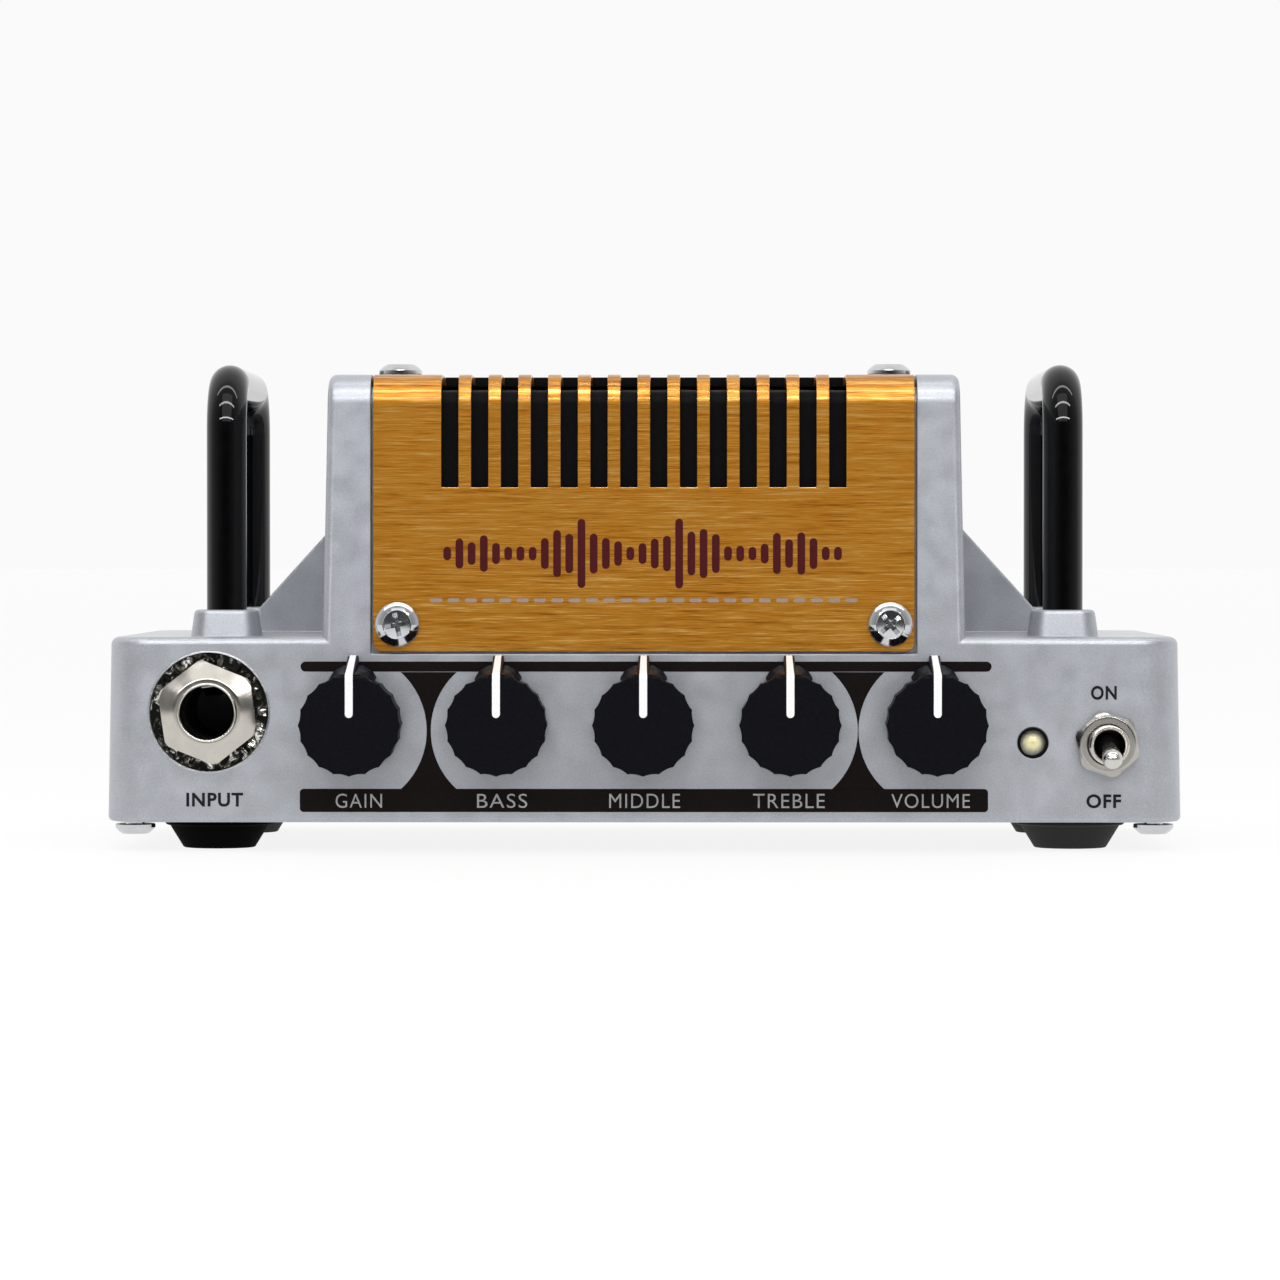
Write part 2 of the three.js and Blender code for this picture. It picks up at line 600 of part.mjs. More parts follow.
/** The lever, leaning down at rest. */
function toggleLever() {
  const { length, tip, neck, ball, tail, tailRadius, rest } = LEVER;
  const profile = [
    [0, -tail],
    [tailRadius, -tail],
    [tailRadius, -1.3],
    ...arc(0, 0, ball, -55, 55, 3).map((p) => [p.x, p.y]),
    [neck, ball],
    [tip, length - 1.6],
    ...arc(0, length - tip, tip, 30, 70, 2).map((p) => [p.x, p.y]),
    [0, length],
  ];
  const lean = THREE.MathUtils.degToRad(rest);
  const { x, z, pivot } = TOGGLE;
  return turned(profile, [x, pivot, z], [x, pivot - Math.cos(lean), z - Math.sin(lean)], 12);
}

/** A hexagon nut with a coned face. It sits on y and rises by its height towards out. */
function hexNut({ acrossFlats, height, face, turn }, [x, y, z], out, holeTool) {
  const corner = acrossFlats / Math.sqrt(3);
  const hexagon = new THREE.CylinderGeometry(corner, corner, height, 6);
  hexagon.rotateY(THREE.MathUtils.degToRad(turn)).translate(0, height / 2, 0);
  const start = [x, y, z];
  const end = [x, y + out, z];
  const cone = [[0, 0], [corner, 0], [corner, height * NUT_FLANK], [face, height], [0, height]];
  const body = solid(aimed(hexagon, start, end)).intersect(turned(cone, start, end));
  return cut(body, [holeTool]);
}

/** A 6.35 mm socket: a moulded housing and a threaded bushing that ends in a thin rim. */
function jack(x, z, face, out) {
  const { bore, bushing, rim, width, length, above, below, reach, rimLength } = JACK;
  const shoulder = face - out * (WALL + GAP);
  const end = face + out * reach;
  const back = shoulder - out * length;
  const housing = block([x - width / 2, Math.min(shoulder, back), z - below],
    [x + width / 2, Math.max(shoulder, back), z + above]);
  return cut(joined([
    housing,
    rod(bushing, [x, shoulder - out, z], [x, end - out * rimLength, z]),
    rod(rim, [x, shoulder - out, z], [x, end, z]),
  ]), [rod(bore, [x, end + out, z], [x, back + out * JACK_END_WALL, z])]);
}

/** The nut of a 6.35 mm socket. Its front lip closes in on the bushing's rim. */
function jackNut(x, z, face, out) {
  const seat = face + out * GAP;
  const { height, lip } = JACK_NUT;
  const hole = joined([
    drilled(JACK.bushing, [x, seat - out, z], [x, seat + out * (height - lip), z]),
    drilled(JACK.rim, [x, seat, z], [x, seat + out * (height + OVERRUN), z]),
  ]);
  return hexNut(JACK_NUT, [x, seat, z], out, hole);
}

/** The toothed lock washer in the round seat around the input. */
function jackWasher() {
  const { radius, thickness, teeth, toothDepth } = WASHER;
  const steps = teeth * 4;
  const outline = Array.from({ length: steps }, (_, i) => {
    const angle = (i / steps) * 2 * Math.PI;
    const r = radius - (i % 4 < 2 ? 0 : toothDepth);
    return new THREE.Vector2(INPUT.x + r * Math.cos(angle), INPUT.z + r * Math.sin(angle));
  });
  const ring = solid(facing(outline, FRONT, FRONT + thickness));
  return cut(ring, [drilled(JACK.bushing, [INPUT.x, FRONT - OVERRUN, INPUT.z],
    [INPUT.x, FRONT + OVERRUN, INPUT.z])]);
}

/** A 3.5 mm socket behind the rear wall. */
function smallJack(x) {
  const { bore, bushing, width, length } = SMALL_JACK;
  const shoulder = REAR - WALL - GAP;
  const half = width / 2;
  const housing = block([x - half, shoulder - length, REAR_JACK_Z - half],
    [x + half, shoulder, REAR_JACK_Z + half]);
  const neck = rod(bushing, [x, shoulder - OVERRUN, REAR_JACK_Z], [x, REAR, REAR_JACK_Z]);
  const wellEnd = shoulder - length + JACK_END_WALL;
  const well = rod(bore, [x, wellEnd, REAR_JACK_Z], [x, REAR + OVERRUN, REAR_JACK_Z], 12);
  return cut(joined([housing, neck]), [well]);
}

/** The power inlet: a round well with a centre pin. */
function dcInlet() {
  const { x, bore, pin, pinInset, bushing, width, length, endWall } = DC_INLET;
  const shoulder = REAR - WALL - GAP;
  const half = width / 2;
  const floor = shoulder - length + endWall;
  const housing = block([x - half, shoulder - length, REAR_JACK_Z - half],
    [x + half, shoulder, REAR_JACK_Z + half]);
  const neck = rod(bushing, [x, shoulder - OVERRUN, REAR_JACK_Z], [x, REAR, REAR_JACK_Z]);
  const well = rod(bore, [x, floor, REAR_JACK_Z], [x, REAR + OVERRUN, REAR_JACK_Z]);
  const centre = rod(pin, [x, floor - OVERRUN, REAR_JACK_Z], [x, REAR - pinInset, REAR_JACK_Z], 8);
  return joined([cut(joined([housing, neck]), [well]), centre]);
}

// ---------------------------------------------------------------- inside
/** The main board with its capacitors, coil and flat chips. */
function mainBoard() {
  const { halfWidth, front, rear, bottom, top } = MAIN_BOARD;
  const board = block([-halfWidth, front, bottom], [halfWidth, rear, top]);
  const sunk = top - OVERLAP;
  const capacitors = onBothSides((side) => [CAPACITOR.front, CAPACITOR.rear].map((y) => rod(
    CAPACITOR.radius, [side * CAPACITOR.x, y, sunk], [side * CAPACITOR.x, y, CAPACITOR.top], 12))).flat();
  const chips = onBothSides((side) => block(
    [side * CHIP.x - CHIP.halfWidth, CHIP.front, sunk],
    [side * CHIP.x + CHIP.halfWidth, CHIP.rear, top + CHIP.height]));
  const coil = block([-COIL.halfWidth, COIL.front, sunk], [COIL.halfWidth, COIL.rear, top + COIL.height]);
  return joined([board, ...capacitors, ...chips, coil]);
}

/** The upright board that carries the controls. */
function controlBoard() {
  const { left, right, rear, bottom, top } = CONTROL_BOARD;
  const board = block([left, POT.rear + GAP, bottom], [right, rear, top]);
  const connectors = onBothSides((side) => block(
    [side * CONNECTOR.x - CONNECTOR.halfWidth, rear - OVERLAP, CONNECTOR.bottom],
    [side * CONNECTOR.x + CONNECTOR.halfWidth, rear + CONNECTOR.depth, CONNECTOR.top]));
  return joined([board, ...connectors]);
}

/** The finned heat sink that stands on the main board and reaches up into the tower. */
function heatSink() {
  const { halfWidth, front, spine, fin, fins, finWidth, finBottom, top } = HEAT_SINK;
  const floor = MAIN_BOARD.top + GAP;
  const back = block([-halfWidth, front, floor], [halfWidth, front + spine, top]);
  const spacing = (2 * halfWidth - finWidth) / (fins - 1);
  const blades = Array.from({ length: fins }, (_, i) => {
    const x = -halfWidth + i * spacing;
    return block([x, front + spine - OVERLAP, finBottom], [x + finWidth, front + spine + fin, top]);
  });
  return joined([back, ...blades]);
}

// ---------------------------------------------------------------- materials
/** A material from its colour, roughness and metalness. */
function material(color, roughness, metalness) {
  return new THREE.MeshStandardMaterial({ color, roughness, metalness });
}

const SILVER_PAINT = material(0xa3a6ad, 0.42, 0.6);
const GOLD = material(0xb98230, 0.3, 1);
const BLACK_STEEL = material(0x1b1b1d, 0.6, 0.4);
const GLOSS_BLACK = material(0x08080a, 0.12, 0.1);
const RUBBER = material(0x101010, 0.8, 0);
const ZINC = material(0xc4c6c8, 0.25, 1);
const NICKEL = material(0xcfcac0, 0.18, 1);
const BLACK_PLASTIC = material(0x15161a, 0.45, 0);
const LENS = material(0xe6dca6, 0.15, 0);
const BOARD_GREEN = material(0x1f5a38, 0.5, 0);
const ALUMINIUM = material(0xb4b7ba, 0.4, 1);

// ---------------------------------------------------------------- assembly
const ampHead = new THREE.Group();

/** Adds one named piece. */
function add(name, body, finish) {
  const mesh = new THREE.Mesh(geometryOf(body), finish);
  mesh.name = name;
  ampHead.add(mesh);
}

const SIDE_NAMES = { '-1': 'left', 1: 'right' };

/** The name of a piece that stands at one of four corners, in the order of the place lists. */
function cornerName(kind, index) {
  const end = index % 2 === 0 ? 'front' : 'rear';
  const side = index < 2 ? 'left' : 'right';
  return `${kind}_${end}_${side}`;
}

add('chassis', chassis(), SILVER_PAINT);
add('bottom_plate', bottomPlate(), BLACK_STEEL);
add('tower_cover', towerCover(), GOLD);
add('vent_liner', ventLiner(), BLACK_STEEL);

footPlaces().forEach((place, i) => add(cornerName('foot', i), foot(place), RUBBER));
cornerScrewPlaces().forEach(([x, y], i) => add(
  cornerName('base_screw', i), screw(BASE_SCREW, [x, y, BASE.bottom - GAP], [0, 0, -1]), ZINC));
handleLegPlaces().forEach(([x, y], i) => add(
  cornerName('handle_screw', i), screw(HANDLE_SCREW, [x, y, CAVITY_TOP - GAP], [0, 0, -1]), ZINC));

[-1, 1].forEach((side) => {
  const name = SIDE_NAMES[side];
  add(`handle_${name}`, handle(side), GLOSS_BLACK);
  add(`cover_screw_front_${name}`, screw(
    COVER_SCREW, [side * FRONT_SCREW.x, FRONT - GAP, FRONT_SCREW.z], [0, -1, 0]), ZINC);
  add(`cover_screw_top_${name}`, screw(
    COVER_SCREW, [side * TOP_SCREW.x, TOP_SCREW.y, TOWER.top + GAP], [0, 0, 1]), ZINC);
  add(`cover_screw_rear_${name}`, screw(
    COVER_SCREW, [side * REAR_SCREW.x, TOWER_REAR + GAP, REAR_SCREW.z], [0, 1, 0]), ZINC);
});

KNOB_NAMES.forEach((name, i) => {
  add(`${name}_knob`, knob(i), BLACK_PLASTIC);
  add(`${name}_shaft`, potShaft(i), ALUMINIUM);
  add(`${name}_potentiometer`, potBody(i), ZINC);
});

add('power_led', powerLed(), LENS);
add('toggle_body', toggleBody(), NICKEL);
add('toggle_nut', hexNut(TOGGLE_NUT, [TOGGLE.x, FRONT - GAP, TOGGLE.z], -1, drilled(
  TOGGLE.bushing, [TOGGLE.x, FRONT + OVERRUN, TOGGLE.z], [TOGGLE.x, TOGGLE.mouth, TOGGLE.z])), NICKEL);
add('toggle_lever', toggleLever(), NICKEL);

add('input_jack', jack(INPUT.x, INPUT.z, FRONT, -1), NICKEL);
add('input_jack_nut', jackNut(INPUT.x, INPUT.z, FRONT, -1), NICKEL);
add('input_jack_washer', jackWasher(), NICKEL);
Object.entries(REAR_JACKS).forEach(([name, x]) => {
  add(name, jack(x, REAR_JACK_Z, REAR, 1), NICKEL);
  add(`${name}_nut`, jackNut(x, REAR_JACK_Z, REAR, 1), NICKEL);
});
Object.entries(SMALL_JACKS).forEach(([name, x]) => add(name, smallJack(x), BLACK_PLASTIC));
add('dc_inlet', dcInlet(), BLACK_PLASTIC);

add('main_board', mainBoard(), BOARD_GREEN);
add('control_board', controlBoard(), BOARD_GREEN);
add('heat_sink', heatSink(), ALUMINIUM);

export default ampHead;
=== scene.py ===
import math

import bmesh
import bpy
from mathutils import Matrix, Vector


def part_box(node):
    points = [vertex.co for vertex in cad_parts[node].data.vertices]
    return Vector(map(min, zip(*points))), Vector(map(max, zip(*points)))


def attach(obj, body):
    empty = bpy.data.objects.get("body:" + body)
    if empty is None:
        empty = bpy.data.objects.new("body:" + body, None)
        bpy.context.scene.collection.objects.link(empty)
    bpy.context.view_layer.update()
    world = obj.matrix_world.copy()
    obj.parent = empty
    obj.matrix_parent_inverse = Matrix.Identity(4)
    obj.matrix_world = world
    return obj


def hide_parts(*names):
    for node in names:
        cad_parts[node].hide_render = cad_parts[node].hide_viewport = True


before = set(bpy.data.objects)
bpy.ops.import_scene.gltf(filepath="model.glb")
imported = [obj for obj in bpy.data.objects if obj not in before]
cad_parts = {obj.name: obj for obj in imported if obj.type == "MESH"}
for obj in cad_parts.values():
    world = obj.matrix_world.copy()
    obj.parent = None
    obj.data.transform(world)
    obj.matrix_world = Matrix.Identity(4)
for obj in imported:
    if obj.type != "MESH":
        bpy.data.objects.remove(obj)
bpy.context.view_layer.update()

MM = 0.001

# GAP is the clearance between two pieces, BEYOND is how far a cutting shape runs past what it cuts,
# and PRINT is how far printed shapes stand off their face.
GAP = 0.3
BEYOND = 1
PRINT = 0.02
FRONT = -27.5
REAR = 34.5
BASE = {"half": 64.0, "bottom": 3.5, "top": 25.5, "corner": 5.0, "draft": 0.4}
TOWER = {"half": 38.5, "rear": 20.5, "top": 56.7, "bend": 3.5, "root": 5.9, "draft": 1.05}
SLOT = {"count": 14, "pitch": 3.536, "width": 2.0, "bottom": 43.25, "end": -13.5,
        "rear_bottom": 36.0, "rear_top": 50.0}
COVER = {"half": 32.1, "bottom": 23.8, "rear_bottom": 26.6, "thickness": 1.2}
RECESS = {"half": 32.4, "bottom": 23.5, "rear_bottom": 26.3, "depth": 1.5}
LEDGE = {"half": 26, "sill": 27.5, "back": 3.6}
LINER = {"half": 25.5, "bottom": 28.2, "offset": 1.9, "thickness": 0.6}
COVER_SCREW = {"head": 2.62, "height": 1.7, "shank": 1.1, "depth": 4.6}
BASE_SCREW = {"head": 2.4, "height": 1.65, "shank": 1.1, "depth": 9.5}
BASE_SCREW_PLACE = {"x": 60.75, "front": -23.0, "rear": 30.0}
HANDLE = {"x": 50.4, "front": -15.5, "rear": 23.9, "radius": 2.4, "bend": 5.6, "top": 58.3, "seat": 25.3}
KNOB = {"z": 15.3, "radius": 6.0, "flutes": 20, "depth": 0.2, "face": -37.5, "back": -27.9,
        "pitch": 17.2}
KNOB_NAMES = ["gain", "bass", "middle", "treble", "volume"]
INPUT = (-51.6, 16.6)
REAR_SOCKET_Z = 15.5
REAR_SOCKETS = {"speaker": 44, "send": 14, "return": -6}
SMALL_SOCKETS = {"phones": -23, "aux": -35}
INLET_X = -49
BUSHING = {"bore": 3.2, "radius": 4.5, "hole": 4.8}
SOCKET_NUT = {"flats": 11, "height": 2.3, "top": 3.9, "hole": 4.75, "lip": 0.6, "lip_radius": 3.57}
TOGGLE_NUT = {"flats": 7.1, "height": 1.5, "top": 3.1, "hole": 2.5}
LED = (46.1, 13.0)
TOGGLE = (54.9, 12.8)
SIDES = {"left": -1, "right": 1}


def placed(name, data):
    """A new object in the scene."""
    obj = bpy.data.objects.new(name, data)
    bpy.context.scene.collection.objects.link(obj)
    return obj


# ---------------------------------------------------------------- camera, lights and floor
def camera():
    """A long lens straight in front, a little above and beside the middle of the object."""
    data = bpy.data.cameras.new("camera")
    data.lens = 161.4
    data.sensor_width = 36
    data.clip_start = 0.02
    obj = placed("camera", data)
    obj.location = (0.00488, -0.7075, 0.03547)
    direction = Vector((-math.sin(math.radians(0.449)), 1, -math.tan(math.radians(0.869))))
    obj.rotation_euler = direction.to_track_quat("-Z", "Y").to_euler()
    bpy.context.scene.camera = obj


def area_light(name, place, target, width, height, power):
    """A soft rectangular light. Place and target are in millimetres."""
    data = bpy.data.lights.new(name, "AREA")
    data.shape = "RECTANGLE"
    data.size = width * MM
    data.size_y = height * MM
    data.energy = power
    obj = placed(name, data)
    obj.location = Vector(place) * MM
    obj.rotation_euler = ((Vector(target) - Vector(place)).to_track_quat("-Z", "Y")).to_euler()


def studio():
    """Long strips and a soft light above the front, and a surround that is dark around the camera."""
    area_light("upper_strip", (0, -405, 521), (0, -24, 50), 1000, 38, 1.75)
    area_light("lower_strip", (0, -590, 290), (0, -24, 50), 1000, 22, 1.7)
    area_light("front_softbox", (0, -440, 430), (0, -24, 40), 560, 560, 0.9)
    area_light("overhead_strip", (0, -70, 520), (0, -24, 50), 1000, 40, 0.75)
    scene = bpy.context.scene
    scene.view_settings.view_transform = "Standard"
    world = bpy.data.worlds.new("surround")
    scene.world = world
    world.use_nodes = True
    nodes, links = world.node_tree.nodes, world.node_tree.links
    nodes.clear()
    output = nodes.new("ShaderNodeOutputWorld")
    seen = nodes.new("ShaderNodeBackground")
    seen.inputs["Color"].default_value = (0.955, 0.955, 0.955, 1)
    lit = nodes.new("ShaderNodeBackground")
    direction = nodes.new("ShaderNodeTexCoord")
    split = nodes.new("ShaderNodeSeparateXYZ")
    share = nodes.new("ShaderNodeMapRange")
    share.inputs["From Min"].default_value = -1
    share.inputs["From Max"].default_value = 1
    shade = nodes.new("ShaderNodeValToRGB")
    stops = ((0.0, 0.03), (0.44, 0.5), (0.6, 0.95), (1.0, 1.0))
    elements = shade.color_ramp.elements
    while len(elements) < len(stops):
        elements.new(0.5)
    for element, (place, value) in zip(elements, stops):
        element.position = place
        element.color = (value, value, value, 1)
    links.new(direction.outputs["Generated"], split.inputs[0])
    links.new(split.outputs["Y"], share.inputs["Value"])
    links.new(share.outputs[0], shade.inputs["Fac"])
    links.new(shade.outputs[0], lit.inputs["Color"])
    path = nodes.new("ShaderNodeLightPath")
    mix = nodes.new("ShaderNodeMixShader")
    links.new(path.outputs["Is Camera Ray"], mix.inputs[0])
    links.new(lit.outputs[0], mix.inputs[1])
    links.new(seen.outputs[0], mix.inputs[2])
    links.new(mix.outputs[0], output.inputs["Surface"])


def floor():
    """A pale floor, narrow towards the camera, that meets the surround without a line. In metres."""
    mesh = bpy.data.meshes.new("floor")
    near, half_near, far = -0.62, 0.45, 12.0
    corners = [(-half_near, near, 0), (half_near, near, 0), (far / 2, far, 0), (-far / 2, far, 0)]
    mesh.from_pydata(corners, [], [(0, 1, 2, 3)])
    material = bpy.data.materials.new("pale_floor")
    material.use_nodes = True
    surface = material.node_tree.nodes["Principled BSDF"]
    surface.inputs["Base Color"].default_value = (0.07, 0.07, 0.07, 1)
    surface.inputs["Roughness"].default_value = 0.9
    surface.inputs["Specular IOR Level"].default_value = 0.1
    surface.inputs["Emission Color"].default_value = (1, 1, 1, 1)
    surface.inputs["Emission Strength"].default_value = 0.88
    mesh.materials.append(material)
    placed("floor", mesh)


# ---------------------------------------------------------------- materials
class Finish:
    """A node material around one principled surface. Its texture space is in millimetres."""

    def __init__(self, name, color, roughness, metallic=0.0, coat=0.0, specular=None):
        self.material = bpy.data.materials.new(name)
        self.material.use_nodes = True
        tree = self.material.node_tree
        self.nodes, self.links = tree.nodes, tree.links
        self.surface = self.nodes["Principled BSDF"]
        self.surface.inputs["Base Color"].default_value = (*color, 1)
        self.surface.inputs["Roughness"].default_value = roughness
        self.surface.inputs["Metallic"].default_value = metallic
        self.surface.inputs["Coat Weight"].default_value = coat
        if specular is not None:
            self.surface.inputs["Specular IOR Level"].default_value = specular
        self.place = self.nodes.new("ShaderNodeTexCoord").outputs["Object"]
        self.normal = None

    def node(self, kind, inputs=None, **settings):
        made = self.nodes.new(kind)
        for key, value in settings.items():
            setattr(made, key, value)
        for key, value in (inputs or {}).items():
            if isinstance(value, bpy.types.NodeSocket):
                self.links.new(value, made.inputs[key])
            else:
                made.inputs[key].default_value = value
        return made

    def noise(self, size, detail=2.0, rough=0.5, distortion=0.0):
        """Noise with grains of the given size, or of a size along each of X, Y and Z."""
        sizes = size if isinstance(size, tuple) else (size, size, size)
        scale = tuple(1 / (MM * s) for s in sizes)
        mapping = self.node("ShaderNodeMapping", {"Vector": self.place, "Scale": scale})
        return self.node("ShaderNodeTexNoise", {
            "Vector": mapping.outputs[0], "Scale": 1.0, "Detail": detail, "Roughness": rough,
            "Distortion": distortion}).outputs["Fac"]

    def mixed(self, a, b, share):
        """Two values mixed."""
        return self.node("ShaderNodeMix", {"Factor": share, "A": a, "B": b}).outputs["Result"]

    def spread(self, value, low, high, start=0.3, end=0.7):
        """A value stretched from one range to another."""
        return self.node("ShaderNodeMapRange", {
            "Value": value, "From Min": start, "From Max": end, "To Min": low, "To Max": high,
        }).outputs[0]

    def toned(self, value, stops):
        """Colours the surface along a value, by (position, (r, g, b)) stops."""
        ramp = self.node("ShaderNodeValToRGB", {"Fac": value})
        while len(ramp.color_ramp.elements) < len(stops):
            ramp.color_ramp.elements.new(0.5)
        for element, (position, color) in zip(ramp.color_ramp.elements, stops):
            element.position = position
            element.color = (*color, 1)
        self.colored(ramp.outputs["Color"])

    def colored(self, value):
        self.links.new(value, self.surface.inputs["Base Color"])

    def roughened(self, value, low, high, start=0.3, end=0.7):
        self.links.new(self.spread(value, low, high, start, end), self.surface.inputs["Roughness"])

    def rounded(self, radius):
        """Softens sharp edges in the shading only."""
        bevel = self.node("ShaderNodeBevel", {"Radius": radius * MM}, samples=4)
        self.normal = bevel.outputs[0]
        self.links.new(self.normal, self.surface.inputs["Normal"])

    def bumped(self, value, height, strength=1.0):
        """Relief of a height in millimetres."""
        inputs = {"Height": value, "Distance": height * MM, "Strength": strength}
        if self.normal is not None:
            inputs["Normal"] = self.normal
        self.normal = self.node("ShaderNodeBump", inputs).outputs[0]
        self.links.new(self.normal, self.surface.inputs["Normal"])


def shades(color, low, high):
    """Two shades of one colour."""
    return tuple(c * low for c in color), tuple(c * high for c in color)


def silver_paint():
    finish = Finish("silver_paint", (0.37, 0.385, 0.42), 0.38, metallic=0.7, coat=0.3)
    clouds = finish.noise(3.0, detail=3)
    flakes = finish.noise(0.16, detail=1)
    value = finish.mixed(clouds, flakes, 0.62)
    dark, light = shades((0.415, 0.43, 0.465), 0.87, 1.13)
    finish.toned(value, [(0.34, dark), (0.66, light)])
    finish.roughened(clouds, 0.36, 0.46)
    finish.rounded(0.22)
    finish.bumped(finish.noise(0.3, detail=2), 0.012, 0.5)
    return finish.material


def gold_sheet():
    finish = Finish("gold_sheet", (0.5, 0.22, 0.03), 0.36, metallic=1.0, coat=0.6)
    broad = finish.noise((14.0, 0.5, 0.5), detail=4, rough=0.65)
    fine = finish.noise((4.0, 0.12, 0.12), detail=3, rough=0.7)
    value = finish.mixed(broad, fine, 0.5)
    finish.toned(value, [
        (0.36, (0.19, 0.055, 0.003)), (0.46, (0.46, 0.18, 0.018)),
        (0.54, (0.59, 0.265, 0.034)), (0.64, (0.92, 0.56, 0.17))])
    finish.roughened(value, 0.42, 0.3, 0.4, 0.6)
    finish.bumped(value, 0.02, 0.45)
    return finish.material


def black_print():
    finish = Finish("black_print", (0.008, 0.004, 0.004), 0.4, specular=0.08)
    value = finish.noise(0.2, detail=2)
    finish.toned(value, [(0.35, (0.005, 0.0028, 0.0028)), (0.7, (0.009, 0.005, 0.005))])
    finish.roughened(value, 0.35, 0.5)
    return finish.material


def ink(name, color, roughness=0.5):
    """Screen-printed ink with slightly uneven coverage."""
    finish = Finish(name, color, roughness, specular=0.08)
    value = finish.noise(0.12, detail=2)
    dark, light = shades(color, 0.88, 1.1)
    finish.toned(value, [(0.35, dark), (0.65, light)])
    finish.roughened(value, roughness - 0.08, roughness + 0.08)
    return finish.material


def black_gloss():
    finish = Finish("gloss_black", (0.0015, 0.0015, 0.0018), 0.05, specular=0.35)
    value = finish.noise(1.4, detail=3)
    finish.toned(value, [(0.35, (0.001, 0.001, 0.0012)), (0.7, (0.002, 0.002, 0.0025))])
    finish.roughened(value, 0.03, 0.06)
    finish.bumped(finish.noise(0.9, detail=1), 0.003, 0.3)
    return finish.material


def moulded(name, color, roughness, grain=0.18, relief=0.008, metallic=0.0, specular=0.4):
    """Moulded plastic or powder coat with a fine grain."""
    finish = Finish(name, color, roughness, metallic=metallic, specular=specular)
    value = finish.noise(grain, detail=2)
    dark, light = shades(color, 0.8, 1.2)
    finish.toned(value, [(0.35, dark), (0.65, light)])
    finish.roughened(finish.noise(1.2, detail=2), roughness - 0.06, roughness + 0.06)
    finish.bumped(value, relief, 0.5)
    return finish.material


def plated(name, color, low, high, edge=0.0, relief=0.002):
    """Bright plating: smooth, with faint scuffs."""
    finish = Finish(name, color, low, metallic=1.0)
    scuffs = finish.noise(1.6, detail=3)
    dark, light = shades(color, 0.95, 1.04)
    finish.toned(scuffs, [(0.35, dark), (0.65, light)])
    finish.roughened(scuffs, low, high)
    if edge:
        finish.rounded(edge)
    finish.bumped(finish.noise(0.5, detail=1), relief, 0.25)
    return finish.material


def shade_painted_nickel():
    """Plating with painted shade for down in the socket's seat: nearly black, with small bright spots that
    are painted glints.
    """
    finish = Finish("shade_painted_nickel", (0.1, 0.1, 0.09), 0.3, metallic=1.0)
    spots = finish.noise(1.2, detail=3, rough=0.6, distortion=1.0)
    # Painted shade and glints: the noise spots make the plating near-black, with small bright painted
    # glints.
    finish.toned(spots, [
        (0.5, (0.012, 0.012, 0.011)), (0.57, (0.12, 0.115, 0.1)), (0.65, (0.8, 0.79, 0.74))])
    finish.roughened(spots, 0.4, 0.15, 0.45, 0.65)
    finish.bumped(spots, 0.12, 0.8)
    return finish.material


def rubber():
    finish = Finish("rubber", (0.0016, 0.0016, 0.0016), 0.8, specular=0.03)
    value = finish.noise(0.2, detail=3)
    finish.toned(value, [(0.35, (0.001, 0.001, 0.001)), (0.7, (0.0024, 0.0024, 0.0024))])
    finish.roughened(value, 0.65, 0.85)
    finish.bumped(value, 0.02, 0.5)
    return finish.material


def led_lens():
    finish = Finish("led_lens", (0.75, 0.69, 0.42), 0.12, coat=0.6, specular=0.5)
    place = Vector((LED[0], 0, LED[1])) * MM
    offset = finish.node("ShaderNodeVectorMath", {0: finish.place, 1: place}, operation="SUBTRACT")
    flat = finish.node("ShaderNodeVectorMath", {0: offset.outputs[0], 1: (1, 0, 1)}, operation="MULTIPLY")
    radius = finish.node("ShaderNodeVectorMath", {0: flat.outputs[0]}, operation="LENGTH")
    value = finish.spread(radius.outputs["Value"], 0.0, 1.0, 0.0, 0.0015)
    cloudy = finish.mixed(value, finish.noise(0.5, detail=2), 0.25)
    finish.toned(cloudy, [
        (0.1, (0.6, 0.53, 0.2)), (0.35, (0.84, 0.76, 0.4)), (0.8, (0.93, 0.9, 0.72))])
    finish.roughened(cloudy, 0.1, 0.2)
    return finish.material


def circuit_board():
    finish = Finish("circuit_board", (0.015, 0.1, 0.04), 0.35, specular=0.5)
    mapping = finish.node("ShaderNodeMapping", {"Vector": finish.place, "Scale": (200, 200, 200)})
    tracks = finish.node("ShaderNodeTexBrick", {
        "Vector": mapping.outputs[0],
        "Color1": (0.012, 0.085, 0.035, 1), "Color2": (0.018, 0.12, 0.05, 1), "Mortar": (0.03, 0.2, 0.08, 1),
        "Mortar Size": 0.03, "Scale": 1.5})
    finish.colored(tracks.outputs["Color"])
    finish.roughened(finish.noise(0.8, detail=2), 0.3, 0.42)
    return finish.material


def brushed_aluminium():
    finish = Finish("aluminium", (0.55, 0.56, 0.57), 0.35, metallic=1.0)
    value = finish.noise((6.0, 6.0, 0.15), detail=3)
    finish.toned(value, [(0.35, (0.45, 0.46, 0.47)), (0.65, (0.64, 0.65, 0.66))])
    finish.roughened(value, 0.28, 0.45)
    return finish.material


# ---------------------------------------------------------------- making meshes
def piece(name, points, faces, material):
    """A piece from points in millimetres. It isn't on a body yet."""
    mesh = bpy.data.meshes.new(name)
    mesh.from_pydata([Vector(p) * MM for p in points], [], faces)
    mesh.materials.append(material)
    shell = bmesh.new()
    shell.from_mesh(mesh)
    bmesh.ops.recalc_face_normals(shell, faces=shell.faces)
    shell.to_mesh(mesh)
    shell.free()
    return placed(name, mesh)


